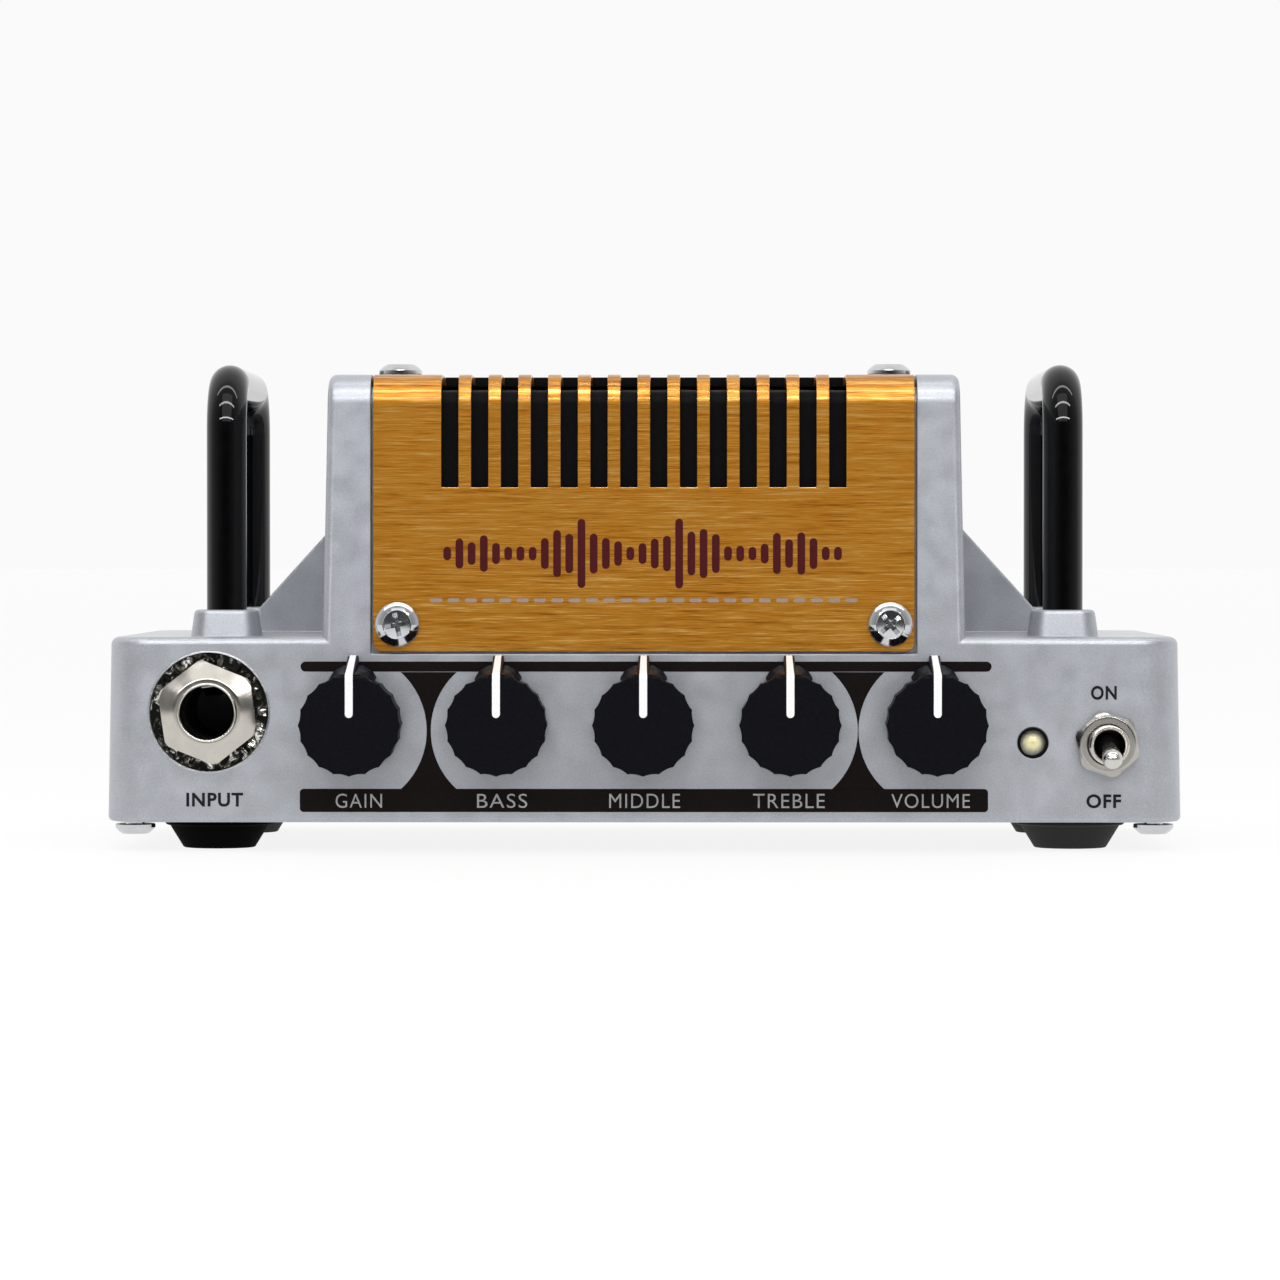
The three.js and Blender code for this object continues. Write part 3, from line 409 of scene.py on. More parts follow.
def bake(obj):
    """Applies the object's modifiers."""
    bpy.context.view_layer.update()
    evaluated = obj.evaluated_get(bpy.context.evaluated_depsgraph_get())
    mesh = bpy.data.meshes.new_from_object(evaluated)
    obj.modifiers.clear()
    obj.data = mesh


def boolean(target, tools, operation):
    """Joins or cuts closed pieces, and removes the tools."""
    for tool in tools:
        modifier = target.modifiers.new("boolean", "BOOLEAN")
        modifier.operation = operation
        modifier.solver = "MANIFOLD"
        modifier.object = tool
    bake(target)
    for tool in tools:
        bpy.data.objects.remove(tool)


def smooth(obj, degrees=32):
    """Smooth shading that keeps edges sharper than the angle."""
    obj.data.shade_smooth()
    obj.data.set_sharp_from_angle(angle=math.radians(degrees))
    modifier = obj.modifiers.new("face_normals", "WEIGHTED_NORMAL")
    modifier.keep_sharp = True
    modifier.weight = 80


def soften(obj, width, segments=2, degrees=35):
    """Rounds the piece's sharp edges."""
    modifier = obj.modifiers.new("edges", "BEVEL")
    modifier.width = width * MM
    modifier.segments = segments
    modifier.limit_method = "ANGLE"
    modifier.angle_limit = math.radians(degrees)
    bake(obj)


def settle(obj, body, slot, *nodes):
    """Puts a finished piece on its body, and in the place of its CAD nodes."""
    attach(obj, body)
    if nodes:
        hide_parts(*nodes)
    return obj


def finished(obj, degrees, body, slot, *nodes):
    """Smooth shading that keeps edges sharper than the angle, then the piece's place."""
    smooth(obj, degrees)
    return settle(obj, body, slot, *nodes)


def merged(name, parts):
    """Several pieces as one object."""
    mesh = bpy.data.meshes.new(name)
    whole = bmesh.new()
    materials = []
    for part in parts:
        start = len(whole.faces)
        whole.from_mesh(part.data)
        whole.faces.ensure_lookup_table()
        for material in part.data.materials:
            if material not in materials:
                materials.append(material)
        index = [materials.index(m) for m in part.data.materials]
        for face in whole.faces[start:]:
            face.material_index = index[min(face.material_index, len(index) - 1)]
    whole.to_mesh(mesh)
    whole.free()
    for material in materials:
        mesh.materials.append(material)
    for part in parts:
        bpy.data.objects.remove(part)
    return placed(name, mesh)


def arc(cx, cy, radius, start, end, steps):
    """Points on an arc, angles in degrees."""
    return [(cx + radius * math.cos(math.radians(start + (end - start) * i / steps)),
             cy + radius * math.sin(math.radians(start + (end - start) * i / steps)))
            for i in range(steps + 1)]


def rounded_rect(x0, x1, y0, y1, radius, steps=12):
    """A rectangle with rounded corners, counter-clockwise."""
    return (arc(x1 - radius, y0 + radius, radius, -90, 0, steps)
            + arc(x1 - radius, y1 - radius, radius, 0, 90, steps)
            + arc(x0 + radius, y1 - radius, radius, 90, 180, steps)
            + arc(x0 + radius, y0 + radius, radius, 180, 270, steps))


def inset(outline, distance):
    """A counter-clockwise outline with every side moved inwards."""
    moved = []
    count = len(outline)
    for i, here in enumerate(outline):
        into = (Vector(here) - Vector(outline[i - 1])).normalized()
        out = (Vector(outline[(i + 1) % count]) - Vector(here)).normalized()
        left_in, left_out = Vector((-into.y, into.x)), Vector((-out.y, out.x))
        middle = (left_in + left_out).normalized()
        moved.append(Vector(here) + middle * (distance / max(0.4, middle.dot(left_in))))
    return moved


def loft_faces(rings, count):
    """The faces of a closed loft through rings of count points each, with its two ends."""
    faces = [list(reversed(range(count))), [(rings - 1) * count + i for i in range(count)]]
    for r in range(rings - 1):
        for i in range(count):
            j = (i + 1) % count
            faces.append([r * count + i, r * count + j, (r + 1) * count + j, (r + 1) * count + i])
    return faces


def prism(name, outline, low, high, place, material, low_edge=0.0, high_edge=0.0, steps=5):
    """An outline extruded from low to high with rounded rims. place turns (u, v, height) into (x, y, z)."""
    quarter = [math.pi / 2 * i / steps for i in range(steps + 1)]
    rings = [(0, low)]
    if low_edge:
        rings = [(low_edge * (1 - math.sin(a)), low + low_edge * (1 - math.cos(a))) for a in quarter]
    if high_edge:
        rings += [(high_edge * (1 - math.cos(a)), high - high_edge * (1 - math.sin(a))) for a in quarter]
    else:
        rings.append((0, high))
    points = [place(p[0], p[1], height) for depth, height in rings for p in inset(outline, depth)]
    return piece(name, points, loft_faces(len(rings), len(outline)), material)


def along_z(u, v, height):
    return (u, v, height)


def along_x(u, v, height):
    return (height, u, v)


def along_y(u, v, height):
    return (u, height, v)


def lathe(name, profile, origin, direction, material, segments=48):
    """A turned piece. The profile is (radius, height) points; a ring profile closes on itself."""
    turn = Vector((0, 0, 1)).rotation_difference(Vector(direction)).to_matrix()
    rings, points = [], []
    for radius, height in profile:
        steps = 1 if radius < 1e-6 else segments
        rings.append([len(points) + i for i in range(steps)])
        for i in range(steps):
            angle = 2 * math.pi * i / segments
            spot = Vector((radius * math.cos(angle), radius * math.sin(angle), height))
            points.append(turn @ spot + Vector(origin))
    if len(rings[0]) > 1 and len(rings[-1]) > 1:
        rings.append(rings[0])
    faces = []
    for a, b in zip(rings, rings[1:]):
        for i in range(segments):
            j = (i + 1) % segments
            quad = [a[i % len(a)], a[j % len(a)], b[j % len(b)], b[i % len(b)]]
            faces.append(list(dict.fromkeys(quad)))
    return piece(name, points, faces, material)


def box(name, low, high, material):
    """A plain closed box, for cutting."""
    (x0, y0, z0), (x1, y1, z1) = low, high
    return prism(name, [(x0, y0), (x1, y0), (x1, y1), (x0, y1)], z0, z1, along_z, material)


def rod(name, radius, start, end, material, segments=32):
    """A plain closed rod."""
    length = (Vector(end) - Vector(start)).length
    direction = (Vector(end) - Vector(start)).normalized()
    profile = [(0, 0), (radius, 0), (radius, length), (0, length)]
    return lathe(name, profile, start, direction, material, segments)


def corner_places():
    """Where the base's screws stand, as (x, y, name)."""
    return [(side * BASE_SCREW_PLACE["x"], BASE_SCREW_PLACE[end], f"{end}_{name}")
            for name, side in SIDES.items() for end in ("front", "rear")]


def knob_x(index):
    """The middle of a control, from its place in the row."""
    return (index - 2) * KNOB["pitch"]


def leg_places():
    """Where the handles' legs stand, as (x, y)."""
    return [(side * HANDLE["x"], HANDLE[end]) for side in SIDES.values() for end in ("front", "rear")]


# ---------------------------------------------------------------- casing
def tower_profile(offset, bottom, steps=14):
    """The tower's side profile as (y, z), moved inwards, counter-clockwise seen from +X."""
    radius = TOWER["bend"] - offset
    front, rear, top = FRONT + offset, TOWER["rear"] - offset, TOWER["top"] - offset
    return ([(front, bottom), (rear, bottom)]
            + arc(rear - radius, top - radius, radius, 0, 90, steps)
            + arc(front + radius, top - radius, radius, 90, 180, steps))


def drafted(obj, half, draft, low, high):
    """Narrows a piece in X, more towards its top."""
    for vertex in obj.data.vertices:
        share = (vertex.co.z / MM - low) / (high - low)
        vertex.co.x *= 1 - draft / half * share


def casing(material):
    """The silver casting: base, tower, bosses and ribs, hollowed and drilled."""
    shell = prism("casing_shell", rounded_rect(-BASE["half"], BASE["half"], FRONT, REAR, BASE["corner"], 16),
                  BASE["bottom"], BASE["top"], along_z, material, 0.6, 0.95, 6)
    drafted(shell, BASE["half"], BASE["draft"], BASE["bottom"], BASE["top"])
    tower = prism("tower", tower_profile(0, TOWER["root"]), -TOWER["half"], TOWER["half"], along_x, material,
                  1.0, 1.0, 6)
    drafted(tower, TOWER["half"], TOWER["draft"], TOWER["root"], TOWER["top"])
    added = [tower]
    root, height, half, taper = BASE["top"] - BEYOND, 4.15, 4.3, 0.134
    for x, y in leg_places():
        def narrowing(u, v, h, x=x, y=y):
            scale = 1 - taper * h / height
            return (x + u * scale, y + v * scale, root + h)

        added.append(prism("boss", rounded_rect(-half, half, -half, half, 2.4, 8), 0, height, narrowing,
                           material, 0, 0.45, 4))
    for side in SIDES.values():
        outline = [(36.5 * side, root), (49 * side, root), (49 * side, 28.5), (36.5 * side, 42.3)]
        outline = outline if side > 0 else outline[::-1]
        added.append(prism("rib", outline, 18.1, 20.3, along_y, material, 0.25, 0.25, 3))
    boolean(shell, added, "UNION")
    boolean(shell, casing_hollows(material), "DIFFERENCE")
    posts = [rod("post", 2.25, (x, y, 5.9), (x, y, 23.6), material) for x, y, _ in corner_places()]
    boolean(shell, posts, "UNION")
    boolean(shell, casing_holes(material), "DIFFERENCE")
    return finished(shell, 30, "casing", "silver_paint", "chassis")


def casing_hollows(material):
    """Cutting shapes: the room in the base, the plate's rebate, and the cover's recess."""
    room = prism("room", rounded_rect(-61.5, 61.5, -25.1, 32.1, 2.6, 6), 4, 23.1, along_z, material)
    rebate = prism("rebate", rounded_rect(-63.1, 63.1, -26.6, 33.6, 4.1, 8), 2, 5.3, along_z, material)
    front, rear, top = FRONT - BEYOND, TOWER["rear"] + BEYOND, 58
    inside = box("inside", (-35.6, FRONT + LEDGE["back"], 22), (35.6, TOWER["rear"] - LEDGE["back"], 53.1),
                 material)
    opening = box("opening", (-LEDGE["half"], front, LEDGE["sill"]), (LEDGE["half"], rear, top), material)
    outline = [(front, RECESS["bottom"]), (-10, RECESS["bottom"]), (-10, RECESS["rear_bottom"]),
               (rear, RECESS["rear_bottom"]), (rear, top), (front, top)]
    outer = prism("recess", outline, -RECESS["half"], RECESS["half"], along_x, material)
    core = prism("core", tower_profile(RECESS["depth"], 20), -40, 40, along_x, material)
    boolean(outer, [core], "DIFFERENCE")
    return [room, rebate, inside, opening, outer]


def casing_holes(material):
    """Cutting shapes for every hole in the casting."""
    holes = []

    def through(x, z, radius, y0, y1):
        holes.append(rod("hole", radius, (x, y0, z), (x, y1, z), material, 48))

    def chamfered(x, z, radius, rim, face, out):
        """A hole whose edge at the face is broken."""
        profile = [(0, -6), (radius, -6), (radius, -rim), (radius + rim, 0), (radius + rim, 1), (0, 1)]
        holes.append(lathe("hole", profile, (x, face, z), (0, out, 0), material, 64))

    chamfered(*INPUT, BUSHING["hole"], 0.1, FRONT, -1)
    seat = [(0, -0.8), (7.05, -0.8), (7.05, -0.22), (7.27, 0), (7.27, 1), (0, 1)]
    holes.append(lathe("seat", seat, (INPUT[0], FRONT, INPUT[1]), (0, -1, 0), material, 96))
    for i in range(len(KNOB_NAMES)):
        through(knob_x(i), KNOB["z"], 3.9, FRONT - BEYOND, FRONT + 4)
    chamfered(*LED, 1.72, 0.18, FRONT, -1)
    through(*TOGGLE, 2.65, FRONT - BEYOND, FRONT + 4)
    for x in REAR_SOCKETS.values():
        chamfered(x, REAR_SOCKET_Z, BUSHING["hole"], 0.15, REAR, 1)
    for x in SMALL_SOCKETS.values():
        chamfered(x, REAR_SOCKET_Z, 3.25, 0.18, REAR, 1)
    chamfered(INLET_X, REAR_SOCKET_Z, 5.3, 0.2, REAR, 1)
    for x, y in leg_places():
        holes.append(rod("hole", 2.62, (x, y, 25), (x, y, 30), material, 40))
        holes.append(rod("hole", 1.8, (x, y, 22), (x, y, 25.5), material, 24))
    return holes


def cover_corners(half, material):
    """Cutting shapes that round the cover's four lower corners."""
    radius, beyond = 1.0, 0.5
    tools = []
    for side in SIDES.values():
        for y0, y1, bottom in ((FRONT - BEYOND, -12, COVER["bottom"]),
                               (6, TOWER["rear"] + BEYOND, COVER["rear_bottom"])):
            curve = arc(half - radius, bottom + radius, radius, 0, -90, 8)
            outline = [*curve, (half - radius, bottom - beyond), (half + beyond, bottom - beyond),
                       (half + beyond, bottom + radius)]
            tools.append(prism("corner", [(side * u, v) for u, v in outline], y0, y1, along_y, material))
    return tools


def cover(material, shadow):
    """The gold sheet: a grid over its unrolled length, open at the slots, thickened inwards.

    The slots' cut ends on the top are painted dark, as painted shade.
    """
    half = COVER["half"]
    edges = []
    for i in range(SLOT["count"]):
        middle = (i - (SLOT["count"] - 1) / 2) * SLOT["pitch"]
        edges += [middle - SLOT["width"] / 2, middle + SLOT["width"] / 2]
    columns = [-half, *edges, half]
    bend, top, rear = TOWER["bend"], TOWER["top"], TOWER["rear"]
    front_bend = arc(FRONT + bend, top - bend, bend, 180, 90, 18)
    rear_bend = arc(rear - bend, top - bend, bend, 90, 0, 18)
    rows = [(FRONT, COVER["bottom"]), (FRONT, SLOT["bottom"]), *front_bend, (SLOT["end"], top), *rear_bend,
            (rear, SLOT["rear_top"]), (rear, SLOT["rear_bottom"]), (rear, COVER["rear_bottom"])]
    open_rows = set(range(1, 2 + len(front_bend))) | {len(rows) - 3}
    points = [(x, y, z) for y, z in rows for x in columns]
    width = len(columns)
    faces = []
    for r in range(len(rows) - 1):
        for c in range(width - 1):
            if r in open_rows and c % 2 == 1:
                continue
            faces.append([r * width + c, r * width + c + 1, (r + 1) * width + c + 1, (r + 1) * width + c])
    mesh = bpy.data.meshes.new("cover_sheet")
    mesh.from_pydata([Vector(p) * MM for p in points], [], faces)
    mesh.materials.append(material)
    sheet = bmesh.new()
    sheet.from_mesh(mesh)
    loose = [v for v in sheet.verts if not v.link_faces]
    bmesh.ops.delete(sheet, geom=loose, context="VERTS")
    sheet.to_mesh(mesh)
    sheet.free()
    obj = placed("cover_sheet", mesh)
    thick = obj.modifiers.new("thickness", "SOLIDIFY")
    thick.thickness = COVER["thickness"] * MM
    thick.offset = -1
    bake(obj)
    boolean(obj, cover_corners(half, material), "DIFFERENCE")
    soften(obj, 0.1, 2, 40)
    # The slots' cut ends get the dark material: painted shade.
    obj.data.materials.append(shadow)
    for face in obj.data.polygons:
        place = face.center / MM
        if abs(place.y - SLOT["end"]) < 0.02 and abs(place.x) < LEDGE["half"]:
            face.material_index = 1
    return finished(obj, 40, "casing", "gold_sheet", "tower_cover")


def liner(material):
    """The black sheet behind the slots."""
    def face(offset):
        bend = tower_profile(offset, LINER["bottom"], 16)[2:]
        return [(TOWER["rear"] - offset, LINER["bottom"]), *bend, (FRONT + offset, LINER["bottom"])]

    outline = face(LINER["offset"]) + face(LINER["offset"] + LINER["thickness"])[::-1]
    obj = prism("liner_sheet", outline, -LINER["half"], LINER["half"], along_x, material)
    return finished(obj, 30, "casing", "black_steel", "vent_liner")


def handle(name, side, material):
    """A bent rod: up, across and down, with round bends."""
    radius, bend = HANDLE["radius"], HANDLE["bend"]
    top = HANDLE["top"] - radius
    path = [((HANDLE["front"], HANDLE["seat"]), (0, 1))]
    for centre, start, end in ((HANDLE["front"] + bend, 180, 90), (HANDLE["rear"] - bend, 90, 0)):
        for i in range(15):
            angle = math.radians(start + (end - start) * i / 14)
            spot = (centre + bend * math.cos(angle), top - bend + bend * math.sin(angle))
            path.append((spot, (math.sin(angle), -math.cos(angle))))
    path.append(((HANDLE["rear"], HANDLE["seat"]), (0, -1)))
    segments = 40
    points = []
    for (y, z), (run, rise) in path:
        for i in range(segments):
            angle = 2 * math.pi * i / segments
            across, outward = radius * math.cos(angle), radius * math.sin(angle)
            points.append((side * HANDLE["x"] + across, y - rise * outward, z + run * outward))
    obj = piece(f"handle_rod_{name}", points, loft_faces(len(path), segments), material)
    return finished(obj, 50, "casing", "gloss_black", f"handle_{name}")


def foot(name, material):
    """A rubber foot with a thin flange and a rounded underside."""
    low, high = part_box(f"foot_{name}")
    x, y = (low.x + high.x) / 2 / MM, (low.y + high.y) / 2 / MM
    cone = [(0, 0), (3.95, 0), *arc(4.1, 0.35, 0.35, -90, -25, 4), (5.95, 2.7)]
    profile = [*cone, (6.3, 2.75), (6.5, 2.9), (6.5, 3.2), (1.6, 3.2), (1.6, 5.6), (0, 5.6)]
    obj = lathe(f"foot_cone_{name}", profile, (x, y, 0), (0, 0, 1), material, 56)
    return finished(obj, 30, "casing", "rubber", f"foot_{name}")


# ---------------------------------------------------------------- screws
def screw_mesh(name, head, height, shank, depth, material):
    """A domed screw along +Z with a round dimple and a cross recess."""
    shoulder = height * 0.28
    profile = [(0, -depth), (shank, -depth), (shank, 0), (head - 0.12, 0), (head, 0.1), (head, shoulder)]
    rise = height - shoulder
    curve = (head ** 2 + rise ** 2) / (2 * rise)
    ring, steps = head * 0.66, 10
    for i in range(1, steps + 1):
        r = head - (head - ring) * i / steps
        profile.append((r, height - curve + math.sqrt(curve ** 2 - r ** 2)))
    rim = profile[-1][1]
    profile += [(ring - 0.08, rim - 0.16), (ring * 0.45, rim - 0.1), (0, rim - 0.08)]
    obj = lathe(name, profile, (0, 0, 0), (0, 0, 1), material, 64)

    def widening(u, v, h):
        length, width = 0.35 + 0.82 * h / height, 0.6 + 0.5 * h / height
        return (u * length * head / 1.55, v * width * head / 2.2, h - 0.1)

    tools = []
    for turn in (0, 90):
        arm = prism("arm", [(-0.9, -0.26), (0.9, -0.26), (0.9, 0.26), (-0.9, 0.26)], 0, height + 1, widening,
                    material)
        arm.data.transform(Matrix.Rotation(math.radians(turn), 4, "Z"))
        tools.append(arm)
    boolean(obj, tools, "DIFFERENCE")
    return obj


def place_screw(name, master, seat, out, turn, node):
    """A copy of a screw, standing on its seat."""
    mesh = master.data.copy()
    spin = Matrix.Rotation(math.radians(turn), 4, "Z")
    aim = Vector((0, 0, 1)).rotation_difference(Vector(out)).to_matrix().to_4x4()
    mesh.transform(Matrix.Translation(Vector(seat) * MM) @ aim @ spin)
    return finished(placed(name, mesh), 28, "casing", "zinc", node)


def screws(material):
    """The screws that show: on the cover and under the base."""
    cover_master = screw_mesh("cover_screw_master", material=material, **COVER_SCREW)
    turns = {"front_left": 12, "front_right": 40, "top_left": 25, "top_right": 5,
             "rear_left": 60, "rear_right": 33}
    for name, side in SIDES.items():
        spots = {
            "front": ((side * 29.2, FRONT - GAP, 27), (0, -1, 0)),
            "top": ((side * 29.5, -13.5, TOWER["top"] + GAP), (0, 0, 1)),
            "rear": ((side * 29.2, TOWER["rear"] + GAP, 31), (0, 1, 0)),
        }
        for end, (seat, out) in spots.items():
            place_screw(f"screw_cover_{end}_{name}", cover_master, seat, out, turns[f"{end}_{name}"],
                        f"cover_screw_{end}_{name}")
    base_master = screw_mesh("base_screw_master", material=material, **BASE_SCREW)
    for x, y, name in corner_places():
        seat = (x, y, BASE["bottom"] - GAP)
        place_screw(f"screw_base_{name}", base_master, seat, (0, 0, -1), 17 + x, f"base_screw_{name}")
    bpy.data.objects.remove(cover_master)
    bpy.data.objects.remove(base_master)


# ---------------------------------------------------------------- knobs
def knob(index, name, plastic, white):
    """A fluted knob with a nose that widens towards the panel, and a painted pointer line."""
    x, z = knob_x(index), KNOB["z"]
    body = f"{name}_control"
    outline, per_flute = [], 6
    for i in range(KNOB["flutes"] * per_flute):
        angle = math.radians(90 + i * 360 / (KNOB["flutes"] * per_flute))
        hollow = math.sin(math.pi * (i % per_flute) / per_flute) ** 0.8
        radius = KNOB["radius"] - KNOB["depth"] * hollow
        outline.append((radius * math.cos(angle), radius * math.sin(angle)))
    face, back = KNOB["face"], KNOB["back"]

    def tapered(u, v, h):
        scale = 1 - 0.003 * (h - face)
        return (x + u * scale, h, z + v * scale)

    grip = prism("grip", outline, face, back, tapered, plastic, 0.3, 0.15, 3)
    blade = hull_piece("blade", plastic, x, z, (
        (0.62, 5.9, face + 0.2), (0.62, 4.0, face + 0.2), (0.6, 8.0, back - 0.8), (0.6, 8.0, back),
        (0.95, 5.0, back)))
    shoulder = hull_piece("shoulder", plastic, x, z, (
        (0.9, 5.95, face + 0.3), (2.2, 6.3, back), (2.2, 6.3, back - 0.9), (2.8, 5.4, back),
        (2.8, 5.2, back - 3), (0.9, 4.0, face + 0.3), (1.1, 6.9, back - 0.3), (1.1, 6.9, back)))
    whole = merged(f"{name}_knob_moulding", [grip, blade, shoulder])
    finished(whole, 24, body, "black_plastic", f"{name}_knob")
    stations = [(1.35, face, 0.46), (5.5, face, 0.46), (5.83, face + 0.03, 0.46), (5.97, face + 0.14, 0.45),
                (6.06, face + 0.4, 0.44), (6.2, face + 1.1, 0.43), (6.5, face + 2.3, 0.41),
                (8.0, back - 0.8, 0.36), (8.0, back, 0.36)]
    pointer = pointer_line(f"{name}_knob_pointer", x, z, stations, white)
    settle(pointer, body, "led_lens")
    return whole


def hull_piece(name, material, x, z, spots):
    """The convex solid around points, given as (half width, height above the middle, y)."""
    hull = bmesh.new()
    for half, rise, y in spots:
        for side in SIDES.values():
            hull.verts.new(Vector((x + side * half, y, z + rise)) * MM)
    bmesh.ops.convex_hull(hull, input=hull.verts)
    loose = [v for v in hull.verts if not v.link_faces]
    bmesh.ops.delete(hull, geom=loose, context="VERTS")
    mesh = bpy.data.meshes.new(name)
    hull.to_mesh(mesh)
    hull.free()
    mesh.materials.append(material)
    obj = placed(name, mesh)
    soften(obj, 0.12, 3, 20)
    return obj


def pointer_line(name, x, z, stations, material):
    """A raised line with a shallow groove along it, round at its lower end."""
    left = [(-1, 0), (-1, 0.9), (-0.85, 1), (-0.5, 1), (-0.35, 0.8)]
    cross = left + [(-across, rise) for across, rise in left[::-1]]
    radius, y, half = stations[0]
    turns = [math.pi / 2 * i / 6 for i in range(1, 6)]
    rows = [(radius - half * math.cos(turn), y, max(0.05, half * math.sin(turn))) for turn in turns]
    rows += stations
    points = []
    for i, (radius, y, width) in enumerate(rows):
        before = Vector(rows[max(i - 1, 0)][:2])
        after = Vector(rows[min(i + 1, len(rows) - 1)][:2])
        along = (after - before).normalized()
        normal = Vector((along.y, -along.x))
        for across, rise in cross:
            lift = normal * (rise * 0.11 - 0.05)
            points.append((x + across * width, y + lift.y, z + radius + lift.x))
    obj = piece(name, points, loft_faces(len(rows), len(cross)), material)
    smooth(obj, 40)
    return obj


# ---------------------------------------------------------------- sockets, lamp and switch
def hex_nut(name, centre, face, out, sizes, turn, material):
    """A hexagon nut with a coned face. Some have a lip that closes in on the bushing's rim."""
    corner, height, top, hole = sizes["flats"] / math.sqrt(3), sizes["height"], sizes["top"], sizes["hole"]
    angles = [math.radians(turn + 30 + 60 * i) for i in range(6)]
    outline = [(corner * math.cos(angle), corner * math.sin(angle)) for angle in angles]
    nut = prism(name, outline, 0, height,
                lambda u, v, h: (centre[0] - u * out, face + out * h, centre[1] + v), material)
    cone = [(0, -BEYOND), (corner - 0.18, -BEYOND), (corner - 0.18, height * 0.55),
            (corner - 0.4, height * 0.66), (top + 0.2, height - 0.04), (top, height), (0, height)]
    origin, direction = (centre[0], face, centre[1]), (0, out, 0)
    boolean(nut, [lathe("cone", cone, origin, direction, material, 96)], "INTERSECT")
    narrow, step = sizes.get("lip_radius", hole), height - sizes.get("lip", 0)
    profile = [(0, -BEYOND), (hole, -BEYOND)]
    profile += [(hole, step), (narrow, step)] if "lip" in sizes else []
    profile += [(narrow, height + BEYOND), (0, height + BEYOND)]
    boolean(nut, [lathe("bore", profile, origin, direction, material, 96)], "DIFFERENCE")
    smooth(nut, 24)
    return nut


def threaded(start, end, radius, pitch=0.5, depth=0.13):
    """Profile points of a fine thread, drawn as rings."""
    points = []
    height = start
    while height + pitch < end:
        points += [(radius, height), (radius, height + pitch * 0.25), (radius - depth, height + pitch * 0.6)]
        height += pitch
    return points + [(radius, end - 0.15), (radius - 0.15, end)]


def socket(name, centre, face, out, nickel, plastic):
    """A 6.35 mm socket: housing behind the wall, bushing, rim and contact spring."""
    x, z = centre
    shoulder = face - out * 2.7
    back = shoulder - out * 20
    low, high = min(shoulder, back), max(shoulder, back)
    bore = BUSHING["bore"]
    housing = prism(f"{name}_housing", rounded_rect(x - 5.6, x + 5.6, z - 5.8, z + 4.4, 0.6, 4), low, high,
                    along_y, plastic, 0.2, 0.2, 2)
    hole = rod("bore", bore, (x, face + out * 5, z), (x, back + out * 1.5, z), plastic, 48)
    boolean(housing, [hole], "DIFFERENCE")
    finished(housing, 30, "casing", "black_plastic", name)
    radius, rim = BUSHING["radius"], arc(bore + 0.16, 2.84, 0.16, 0, 180, 8)
    profile = [(bore, -3.0), (radius, -3.0), *threaded(-2.6, 1.7, radius), (bore + 0.32, 1.7), *rim]
    bushing = lathe(f"{name}_bushing", profile, (x, face, z), (0, out, 0), nickel, 72)
    finished(bushing, 28, "casing", "nickel")
    spring = ((1.5, 2.9), (4.0, 2.75), (6.5, 1.9), (7.6, 1.75), (8.6, 2.3), (11, 2.9))
    strip = ((-1.0, -0.09), (1.2, 0.16), (1.2, 0.3), (-1.0, 0.05))
    points = [(x + dx, face - out * depth, z + rise + dz) for depth, rise in spring for dx, dz in strip]
    contact = piece(f"{name}_contact", points, loft_faces(len(spring), len(strip)), nickel)
    soften(contact, 0.03, 1, 40)
    settle(contact, "casing", "nickel")


def lock_washer(nickel, bright):
    """The toothed washer in the seat around the input, in plating with painted shade and glints, and a
    bright ring at the seat's edge as a painted highlight.
    """
    x, z = INPUT
    ring = [(4.85, 0.3), (5.2, 0.3), (6.0, 0.42), (6.98, 0.42), (6.98, 0.78), (4.85, 0.78)]
    parts = [lathe("ring", ring, (x, FRONT, z), (0, 1, 0), nickel, 96)]
    teeth = 22
    for i in range(teeth):
        share = 2 * math.pi / teeth
        angle = i * share + 0.1 * math.sin(i * 2.7)
        spread, tilt = (0.5 + 0.12 * math.sin(i * 1.9)) * share, 0.2 + 0.1 * math.sin(i * 3.1)
        radial = Vector((math.cos(angle), 0, math.sin(angle)))
        around = Vector((-math.sin(angle), 0, math.cos(angle)))
        centre = Vector((x, FRONT + 0.34, z))
        points = []
        for r in (5.7, 6.82 - 0.2 * abs(math.sin(i * 1.3))):
            for side in (-1, 1):
                for thick in (0, 0.22):
                    rise = Vector((0, side * tilt + thick - 0.1, 0))
                    points.append(centre + radial * r + around * side * r * spread / 2 + rise)
        faces = [[0, 1, 3, 2], [4, 6, 7, 5], [0, 4, 5, 1], [2, 3, 7, 6], [0, 2, 6, 4], [1, 5, 7, 3]]
        parts.append(piece("tooth", points, faces, nickel))
    washer = merged("input_lock_washer", parts)
    soften(washer, 0.05, 1, 30)
    finished(washer, 30, "casing", "nickel", "input_jack_washer")
    # A bright metal ring at the seat's edge: a painted highlight where the edge catches light.
    profile = [(7.06, 0.12), (7.06, 0.0), *arc(7.13, -0.01, 0.07, 180, 0, 6), (7.26, 0.02)]
    edge = lathe("input_seat_highlight_ring", profile, (x, FRONT, z), (0, 1, 0), bright, 128)
    finished(edge, 40, "casing", "nickel")


